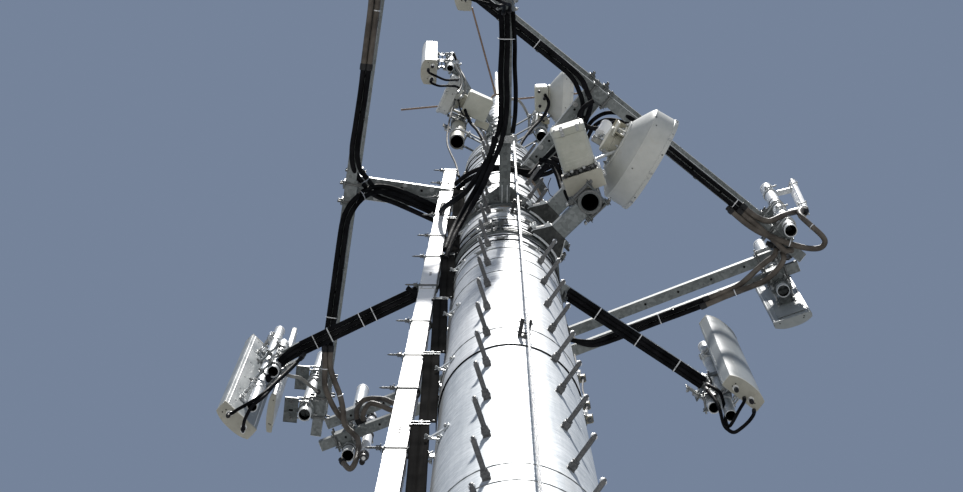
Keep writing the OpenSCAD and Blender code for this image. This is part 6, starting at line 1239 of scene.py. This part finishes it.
# ------------------------------------------------------------------ cable routes, mm: (diameter, points)
ROUTES = {
 "coax_star": [
  (28, [(409,233,19378),(582,346,19375),(754,458,19380),(927,570,19376),(1100,682,19381),(1273,794,19378)]),
  (28, [(394,256,19378),(567,368,19375),(740,480,19380),(912,593,19376),(1085,705,19381),(1258,817,19378)]),
  (28, [(379,279,19378),(552,391,19375),(725,503,19380),(898,615,19376),(1071,727,19381),(1243,840,19378)]),
  (28, [(-487,279,19378),(-637,353,19375),(-788,428,19380),(-938,503,19376),(-1088,578,19381),(-1239,653,19378)]),
  (28, [(-501,250,19378),(-652,325,19375),(-802,400,19380),(-952,475,19376),(-1103,550,19381),(-1253,625,19378)]),
  (28, [(-515,221,19378),(-666,296,19375),(-816,371,19380),(-966,446,19376),(-1117,521,19381),(-1267,596,19378)]),
  (32, [(-38,-1500,19372),(-30,-1300,19374),(-36,-1100,19376),(-30,-950,19374),(-34,-800,19372),(-60,-700,19340),(-110,-560,19250),(-170,-440,19100),(-240,-330,18950),(-310,-230,18700),(-352,-160,18300)]),
  (32, [(0,-1500,19370),(6,-1300,19372),(2,-1100,19374),(8,-950,19374),(-2,-800,19370),(-30,-680,19320),(-90,-540,19200),(-150,-420,19030),(-225,-310,18850),(-300,-210,18550),(-345,-130,18150)]),
  (28, [(36,-1490,19375),(50,-1300,19400),(52,-1150,19440),(60,-1000,19420),(58,-850,19400),(44,-740,19380)]),
 ],
 "coax_jumpers": [
  (24, [(1448,765,18640),(1440,772,18560),(1404,812,18490),(1368,870,18455),(1345,905,18470),(1338,900,18600),(1348,872,18800),(1330,800,19000),(1270,800,19250)]),
  (26, [(1508,838,18640),(1500,850,18570),(1466,878,18500),(1415,912,18450),(1372,930,18420),(1338,918,18440),(1320,905,18560),(1308,845,18850),(1262,815,19200)]),
  (24, [(-1627,882,18600),(-1620,876,18530),(-1575,840,18490),(-1506,798,18480),(-1435,754,18520),(-1361,719,18800),(-1290,690,19150),(-1245,672,19340)]),
  (24, [(-1555,985,18600),(-1550,978,18520),(-1535,900,18460),(-1490,815,18450),(-1425,765,18500),(-1372,735,18780),(-1300,705,19120),(-1235,655,19345)]),
  (24, [(-232,-1610,18640),(-225,-1612,18550),(-180,-1600,18500),(-120,-1585,18500),(-60,-1570,18560),(-30,-1560,18800),(-20,-1530,19100),(-22,-1480,19340)]),
  (24, [(-228,-1720,18640),(-220,-1716,18560),(-170,-1690,18490),(-110,-1640,18480),(-50,-1600,18540),(-6,-1570,18780),(14,-1545,19060),(12,-1490,19345)]),
 ],
 "coax_frame": [
  (34, [(-394,64,21390),(-485,31,21460),(-708,-64,21462),(-859,-129,21420),(-924,-222,21250),(-978,-322,21140),(-989,-453,21122),(-961,-651,21122),(-936,-829,21124),(-918,-980,21122)]),
  (34, [(-416,97,21380),(-513,64,21462),(-727,-29,21462),(-885,-94,21425),(-958,-195,21256),(-1015,-303,21145),(-1028,-438,21122),(-1004,-616,21122),(-973,-834,21122),(-956,-983,21124)]),
  (34, [(-407,25,21370),(-503,-8,21430),(-714,-94,21440),(-841,-123,21380),(-923,-113,21270),(-969,-87,21160),(-1009,-40,21112),(-1052,53,21116),(-1075,201,21122),(-1120,559,21122),(-1169,930,21122)]),
  (34, [(-432,-14,21372),(-528,-49,21432),(-739,-134,21442),(-866,-160,21375),(-944,-144,21260),(-990,-114,21145),(-1034,-70,21112),(-1083,29,21116),(-1111,187,21122),(-1158,554,21122),(-1207,925,21122)]),
  (36, [(216,-250,21150),(270,-296,21290),(340,-355,21400),(478,-485,21480),(557,-602,21446),(590,-712,21330),(588,-791,21170),(562,-855,21112),(524,-936,21112),(434,-1024,21122),(192,-1217,21122),(-124,-1462,21124),(-477,-1741,21122)]),
  (32, [(179,-274,21130),(239,-327,21280),(313,-390,21392),(450,-516,21474),(517,-617,21440),(540,-708,21330),(534,-782,21170),(510,-852,21112),(467,-935,21114),(380,-1019,21122),(88,-1247,21122),(-228,-1492,21122),(-502,-1710,21122)]),
  (28, [(488,-431,21488),(549,-510,21482),(606,-618,21440),(697,-689,21330),(805,-698,21180),(912,-645,21122),(1042,-551,21122),(1371,-290,21122),(1640,-82,21122)]),
  (28, [(521,-418,21486),(576,-489,21478),(627,-589,21430),(707,-646,21310),(806,-646,21170),(913,-598,21122),(1051,-498,21122),(1349,-262,21122),(1616,-52,21122)]),
  (34, [(148,307,21240),(176,361,21370),(224,471,21468),(320,648,21470),(392,769,21380),(440,842,21230),(492,853,21112),(611,862,21104),(692,846,21118),(941,741,21122),(1219,630,21122),(1478,523,21120),(1617,465,21118)]),
  (34, [(108,321,21230),(137,376,21370),(181,488,21470),(248,676,21470),(275,827,21390),(267,927,21240),(231,993,21130),(141,1057,21122),(11,1110,21122),(-138,1168,21122),(-344,1245,21120),(-515,1303,21140)]),
  (32, [(188,293,21240),(217,355,21372),(267,464,21464),(367,645,21462),(442,782,21370),(491,854,21240),(546,872,21116),(648,885,21110),(788,844,21122),(1047,737,21122),(1326,628,21122),(1631,502,21118)]),
 ],
 "conduits": [
  (42, [(-1205,930,21112),(-1203,1060,21108),(-1203,1188,21108),(-1166,1292,21110),(-1120,1383,21135),(-1078,1450,21200),(-1052,1510,21262),(-1046,1552,21300)]),
  (42, [(-1165,930,21112),(-1168,1048,21110),(-1140,1150,21110),(-1100,1256,21112),(-1078,1360,21115),(-1063,1462,21100),(-969,1545,21000),(-971,1631,20750),(-1009,1682,20700),(-1061,1656,20790)]),
  (40, [(-975,1478,21262),(-990,1440,21270),(-990,1396,21300),(-960,1351,21370),(-904,1329,21370),(-796,1316,21280),(-717,1330,21190),(-640,1330,21150)]),
  (40, [(-940,1482,21262),(-944,1440,21250),(-937,1389,21230),(-900,1345,21270),(-829,1348,21230),(-728,1370,21150),(-650,1360,21130)]),
  (42, [(2104,-12,21490),(2060,-30,21380),(2045,-10,21260),(2100,40,21170),(2180,110,21112),(2200,155,21098),(2165,192,21092),(2080,194,21090),(1960,165,21095),(1850,125,21102),(1757,92,21110),(1660,32,21116),(1560,-50,21120)]),
  (42, [(1640,-82,21122),(1728,-15,21118),(1817,17,21135),(1908,-10,21200),(1990,-18,21320),(2080,-20,21420)]),
  (42, [(1616,-52,21122),(1741,49,21116),(1847,140,21112),(1929,214,21112),(1975,215,21140),(1985,262,21230),(1975,290,21330)]),
  (42, [(1379,604,21100),(1500,548,21092),(1616,494,21085),(1700,464,21080),(1797,418,21080),(1880,345,21100),(1925,275,21130),(1905,215,21180),(1850,190,21200)]),
  (42, [(1400,556,21110),(1520,505,21105),(1616,462,21112),(1680,410,21112),(1742,350,21116),(1800,300,21120),(1858,255,21130),(1880,205,21160)]),
  (42, [(-914,-998,21120),(-888,-1206,21118),(-861,-1425,21118),(-847,-1624,21114),(-865,-1778,21105),(-900,-1850,21110),(-985,-1880,21180),(-1030,-1830,21300),(-1020,-1780,21420)]),
  (42, [(-955,-1001,21120),(-930,-1212,21118),(-905,-1430,21118),(-897,-1611,21116),(-921,-1735,21110),(-950,-1800,21130),(-1000,-1790,21240),(-1000,-1740,21380)]),
 ],
 "coax_trunk": [
  (34, [(-395,-150,20500),(-400,-175,19900),(-370,-255,19550),(-300,-340,19250),(-230,-410,19150),(-150,-520,19230),(-90,-620,19300),(-66,-720,19345)]),
  (32, [(-560,262,19372),(-518,285,19360),(-430,232,19335),(-363,187,19290),(-336,130,19150),(-332,60,18900),(-338,42,18600),(-346,40,18200)]),
  (32, [(-600,232,19368),(-540,258,19350),(-440,198,19300),(-378,152,19220),(-356,105,19060),(-352,72,18800),(-362,66,18500),(-366,62,18200)]),
  (34, [(-400,-60,20200),(-405,-30,20500),(-405,10,20900),(-402,44,21200),(-394,64,21390)]),
  (34, [(-440,-100,20250),(-446,-66,20500),(-442,-10,20900),(-434,60,21200),(-417,96,21380)]),
  (30, [(-300,-60,19800),(-330,-20,20400),(-330,0,21000),(-322,10,21600),(-300,20,22400),(-280,20,23100),(-240,10,23560),(-160,0,23760),(-128,-20,24000)]),
  (30, [(-290,-120,19800),(-315,-90,20400),(-318,-80,21000),(-305,-70,21600),(-288,-60,22400),(-270,-50,23100),(-225,-50,23560),(-150,-40,23790),(-122,-60,24050)]),
  (30, [(560,-900,19900),(500,-860,19880),(470,-800,19860),(520,-740,19850),(620,-730,19850),(700,-770,19850)]),
  (30, [(226,-519,19900),(289,-506,19850),(331,-447,19700),(358,-376,19500),(391,-326,19300),(424,-308,19150)]),
 ],
 "coax_top": [
  (26, [(-290,-323,25400),(-246,-253,25100),(-179,-228,24600),(-118,-150,24200),(-108,-80,23960)]),
  (26, [(367,-465,25330),(398,-395,25250),(345,-310,24980),(253,-255,24600),(165,-180,24200),(118,-80,23950)]),
 ],
}

# ------------------------------------------------------------------ cables
def run(p, routes, mats, n=14, step=22, ends=None):
    out = []
    for i, (d, pts) in enumerate(routes):
        m = mats[i % len(mats)]
        out.append(p.tube(pts, d, m, n, step=step))
    return out
def tied(p, groups, every=330, first=160, mat=None, w=6, jitter=30):
    """ties round parallel cables (lists of centre points), at even steps along the first"""
    ref = groups[0][0]; acc = 0.0; nxt = first
    for i in range(1, len(ref)-1):
        acc += (ref[i]-ref[i-1]).length
        if acc < nxt: continue
        nxt += every+rng.uniform(-jitter, jitter)
        t = (ref[i+1]-ref[i-1]).normalized()
        cs = []
        for c, d in groups:
            q = min(c, key=lambda r: (r-ref[i]).length)
            if (q-ref[i]).length < 150: cs.append((q-t*(q-ref[i]).dot(t), d))
        m = sum((q for q, _ in cs), V((0, 0, 0)))/len(cs)
        if len(cs) > 1:
            far = max(cs, key=lambda r: (r[0]-m).length); u = (far[0]-m).normalized()
        else: u = Z.cross(t).normalized()
        v = t.cross(u); a = max(abs((q-m).dot(u))+d/2 for q, d in cs); b = max(abs((q-m).dot(v))+d/2 for q, d in cs)
        strap(p, m, t, u, a+0.6, b+0.6, mat or TIE, w=w, tail=16)

p = Piece("coax_star_runs", "cable_black", ("coax_star",))
R_ = ROUTES["coax_star"]
cs = run(p, R_, (BLACK, BLACK_R, BLACK))
# single straps along the bundles, silver tape near the ends
for a, lst in ((AZ_R, ((702, 7, TIE), (1006, 7, TIE), (1298, 9, BAND))), (AZ_L, ((900, 6, TIE), (987, 6, TIE), (1205, 9, BAND), (1307, 6, BAND)))):
    d, t = adir(a), adir(a+90)
    for r, w_, m_ in lst: strap(p, d*r+Z*(STAR_Z-52), d, t, 43.5 if a == AZ_R else 48, 15.5, m_, w=w_, tail=14, e=4.5)
strap(p, adir(AZ_F)*1322+Z*(STAR_Z-20), adir(AZ_F), X, 52, 56, TIE, w=5, tail=None, e=3.5)
# silver two-part hanger block round the front bundle
c = adir(AZ_F)*704+Z*(STAR_Z-60)
p.box(c-Z*24, 46, 96, 10, STEEL, (adir(AZ_F), X, Z), 2); p.box(c+Z*14, 46, 96, 8, STEEL, (adir(AZ_F), X, Z), 2)
for s in (-40, 40): p.stud(c+X*s-Z*52, c+X*s+Z*30, 9, STEEL, (14, 72), 15)
p.box(c-Z*33, 30, 30, 10, STEEL, (adir(AZ_F), X, Z), 2); p.bolt(c-Z*38, -Z, 14, STEEL, stub=8)
# the left bundle's last stretch, from the clamps to the mast and on down
for k, o in enumerate((-30, 0, 28)):
    d, t = adir(AZ_L), adir(AZ_L+90)
    p.tube([d*1392+t*o+Z*(STAR_Z-52), d*1450+t*(o*0.9)+Z*(STAR_Z-54), d*1520+t*(o*0.7-10)+Z*(STAR_Z-66), d*1580+t*(o*0.5-26)+Z*(STAR_Z-110), d*1612+t*(o*0.4-40)+Z*(STAR_Z-190), d*1640+t*(o*0.3-46)+Z*(STAR_Z-330)], 26, (BLACK, BLACK_R, BLACK)[k], 14, step=22)
p.done()
p = Piece("star_jumpers", "cable_black", ("coax_jumpers",))
for i, (d, pts) in enumerate(ROUTES["coax_jumpers"]):
    c = p.tube(pts, lambda u, d=d: d*0.86, (BLACK, BLACK_R)[i % 2], 14, step=16)
    q, dn = c[0], (c[1]-c[0]).normalized()
    p.lathe(q-dn*4, dn, [(0, 10), (3, 13), (40, 13), (46, 11)], CONN if i in (2, 3) else TAPE, 18)
    if i in (2, 3): p.lathe(q+dn*38, dn, [(0, 12.4), (2, 14), (16, 14), (18, 12)], WHITE, 16)
    p.lathe(c[-1]-(c[-1]-c[-2]).normalized()*60, c[-1]-c[-2], [(0, 11), (3, 14.5), (54, 14.5), (60, 12)], TAPE, 16)
p.done()
p = Piece("coax_frame_runs", "cable_black", ("coax_frame",))
R_ = ROUTES["coax_frame"]
cs = run(p, R_, (BLACK, BLACK_R, BLACK))
tied(p, [(cs[0], 34), (cs[1], 34)], 900, 760); tied(p, [(cs[2], 34), (cs[3], 34)], 900, 700)
tied(p, [(cs[4], 36), (cs[5], 32)], 900, 640); tied(p, [(cs[6], 28), (cs[7], 28)], 900, 700)
tied(p, [(cs[8], 34), (cs[10], 32)], 900, 700); tied(p, [(cs[9], 34)], 900, 700)
# clips between rail and bundle
for k in range(3):
    n, t = adir(NRM[k]), adir(NRM[k]+90)
    for s in (-1200, -860, -520, 520, 860, 1200):
        if k == 1 and s > 1100 or k == 0 and s < -1100: continue
        c = n*1050+t*s+Z*(RAIL_Z-RAIL_W/2-3); p.box(c, 70, 24, 5, STEEL_D, (n, t, Z), 1); p.bolt(c-Z*2, -Z, 13, STEEL_D, stub=8)
        p.tube([c-n*26-Z*2, c-n*30-Z*22, c-n*26-Z*40], 5, STEEL_D, 6)
p.done()
# the frame's black cables where they leave the rails, given the brown-grey jacket as painted sunlight
p = Piece("corner_conduits", "conduit_brown", ("conduits",))
R_ = ROUTES["conduits"]
cs = []
for i, (d, pts) in enumerate(R_):
    cs.append(p.tube(pts, d*0.94, CONDUIT_SUNLIT, 18, step=14))
    q = cs[-1][-1]; dn = (cs[-1][-1]-cs[-1][-3]).normalized()
    p.lathe(q-dn*12, dn, [(0, d*0.47), (2, d*0.56), (26, d*0.56), (30, d*0.5), (33, d*0.42), (52, d*0.42), (54, d*0.34)], TAPE, 20)
    q = cs[-1][0]; dn = (cs[-1][2]-cs[-1][0]).normalized()
    p.lathe(q-dn*20, dn, [(0, d*0.44), (3, d*0.54), (40, d*0.54), (46, d*0.48)], TAPE, 20)
for i, k in ((0, (0.2,)), (1, (0.3,)), (4, (0.3, 0.62)), (7, (0.3,)), (9, (0.3, 0.6))):
    for f in k:
        c = cs[i]; j = int(len(c)*f); strap(p, c[j], c[min(j+1, len(c)-1)]-c[j-1], Z, R_[i][0]/2+0.5, R_[i][0]/2+0.5, TIE, w=8, tail=14, e=2.2)
p.done()
p = Piece("coax_trunk_runs", "cable_black", ("coax_trunk",))
R_ = ROUTES["coax_trunk"]
cs = run(p, R_, (BLACK, BLACK_R, BLACK))
for i in (5, 6):
    tied(p, [(cs[i], R_[i][0])], 520, 200)
p.done()
p = Piece("coax_top_runs", "cable_black", ("coax_top",))
run(p, ROUTES["coax_top"], (BLACK, BLACK_R))
p.done()
# thin pale tails: by the small dish, at the far left corner
p = Piece("pale_tails", "cable_black")
# two more black runs beside the large dish's mount
for pts, m_ in (([(264,-579,19300), (312,-559,19260), (355,-486,19200), (367,-417,19160), (403,-351,19100), (445,-332,19060)], BLACK), ([(291,-596,19300), (340,-576,19260), (383,-492,19200), (395,-417,19160), (431,-362,19100), (472,-354,19060)], BLACK_R)): p.tube(pts, 30, m_, 16, step=20)
# a black pair round the pole's front, just under the frame's collar
def off(x, y, z): k = max(1.0, (pr(z)+19)/math.hypot(x, y)); return (x*k, y*k, z)
for pts, m_ in (([(400,-327,21345), (312,-268,21345), (188,-249,21345), (78,-261,21345), (-39,-277,21345), (-142,-265,21345), (-238,-216,21345), (-313,-152,21345)], BLACK), ([(386,-360,21360), (298,-297,21360), (188,-278,21360), (78,-291,21360), (-40,-307,21360), (-150,-295,21360), (-252,-245,21360), (-327,-182,21360)], BLACK_R)): p.tube([off(*q) for q in pts], 31, m_, 16, step=20)
# light grey arc at the pole's top, over the upper bands
p.tube([(113,-198,27900), (186,-182,27880), (241,-117,27800), (276,-41,27650), (275,44,27500)], 26, GREYJ, 14, step=20)
for pts, d, m_ in (([(-372,-414,25300), (-402,-330,24900), (-420,-235,24300), (-412,-190,23900), (-380,-160,23500), (-340,-130,23100), (-312,-95,22600)], 15, GREYD),
                   ([(-1477,1067,20900), (-1420,1090,20905), (-1364,1109,20950), (-1300,1160,20955), (-1241,1204,20950)], 25, GREYJ),
                   ([(-345,-395,25480), (-330,-330,25420), (-300,-280,25380), (-262,-270,25390)], 14, TAPE),
                   ([(430,-430,25600), (452,-372,25560), (448,-320,25500), (420,-280,25420), (360,-250,25300)], 14, GREYJ)):
    p.tube(pts, d, m_, 12, step=20)
    for q in (V(pts[0]), V(pts[-1])): p.lathe(q-Z*10, Z, [(0, d*0.5), (3, d*0.72), (22, d*0.72), (26, d*0.45)], TAPE, 14)
p.lathe(V((-934, 1666, 20828)), Z, [(0, 12), (3, 19), (30, 21), (44, 19), (48, 10)], TAPE, 20)
p.done()

# ------------------------------------------------------------------ floor, light, camera
fm = Mat("floor_pale", rough=0.85, spec=0.2)
fm.color(fm.ramp(fm.noise(0.35, detail=3), [(0.3, (0.30, 0.30, 0.295)), (0.7, (0.34, 0.34, 0.335))])); fm.bump(fm.noise(60, detail=2), 0.05, 0.002)
me = bpy.data.meshes.new("floor"); me.from_pydata([(-700, -700, 0), (700, -700, 0), (700, 700, 0), (-700, 700, 0)], [], [(0, 1, 2, 3)]); me.materials.append(fm.m)
fl = bpy.data.objects.new("floor", me); bpy.context.scene.collection.objects.link(fl)
w = bpy.data.worlds.new("studio"); bpy.context.scene.world = w; w.use_nodes = True
w.node_tree.nodes["Background"].inputs[0].default_value = (0.27, 0.345, 0.49, 1)
w.node_tree.nodes["Background"].inputs[1].default_value = 0.66
def sun(name, d, energy, angle, col):
    s = bpy.data.lights.new(name, "SUN"); s.energy = energy; s.angle = math.radians(angle); s.color = col
    o = bpy.data.objects.new(name, s); bpy.context.scene.collection.objects.link(o); o.rotation_euler = V(d).to_track_quat("Z", "Y").to_euler()
sun("key", (0.022, -0.422, 0.906), 5.2, 2.5, (1.0, 0.975, 0.94))
bpy.context.scene.view_settings.view_transform = "Standard"
f, th, roll = 2888.49, math.radians(82.02), math.radians(0.70)
fwd = V((0, math.cos(th), math.sin(th))); right = V((1, 0, 0)); up = right.cross(fwd)
c, s = math.cos(roll), math.sin(roll); r2 = c*right+s*up; u2 = -s*right+c*up
cam = bpy.data.cameras.new("camera"); co = bpy.data.objects.new("camera", cam); bpy.context.scene.collection.objects.link(co)
cam.sensor_width = 36; cam.lens = f*36/963; cam.clip_start = 0.05; cam.clip_end = 2000
m = Matrix.Identity(4)
for i in range(3): m[i][0] = r2[i]; m[i][1] = u2[i]; m[i][2] = -fwd[i]
m.translation = V((-0.1396, -2.5258, 1.6)); co.matrix_world = m
bpy.context.scene.camera = co
bpy.context.view_layer.update()
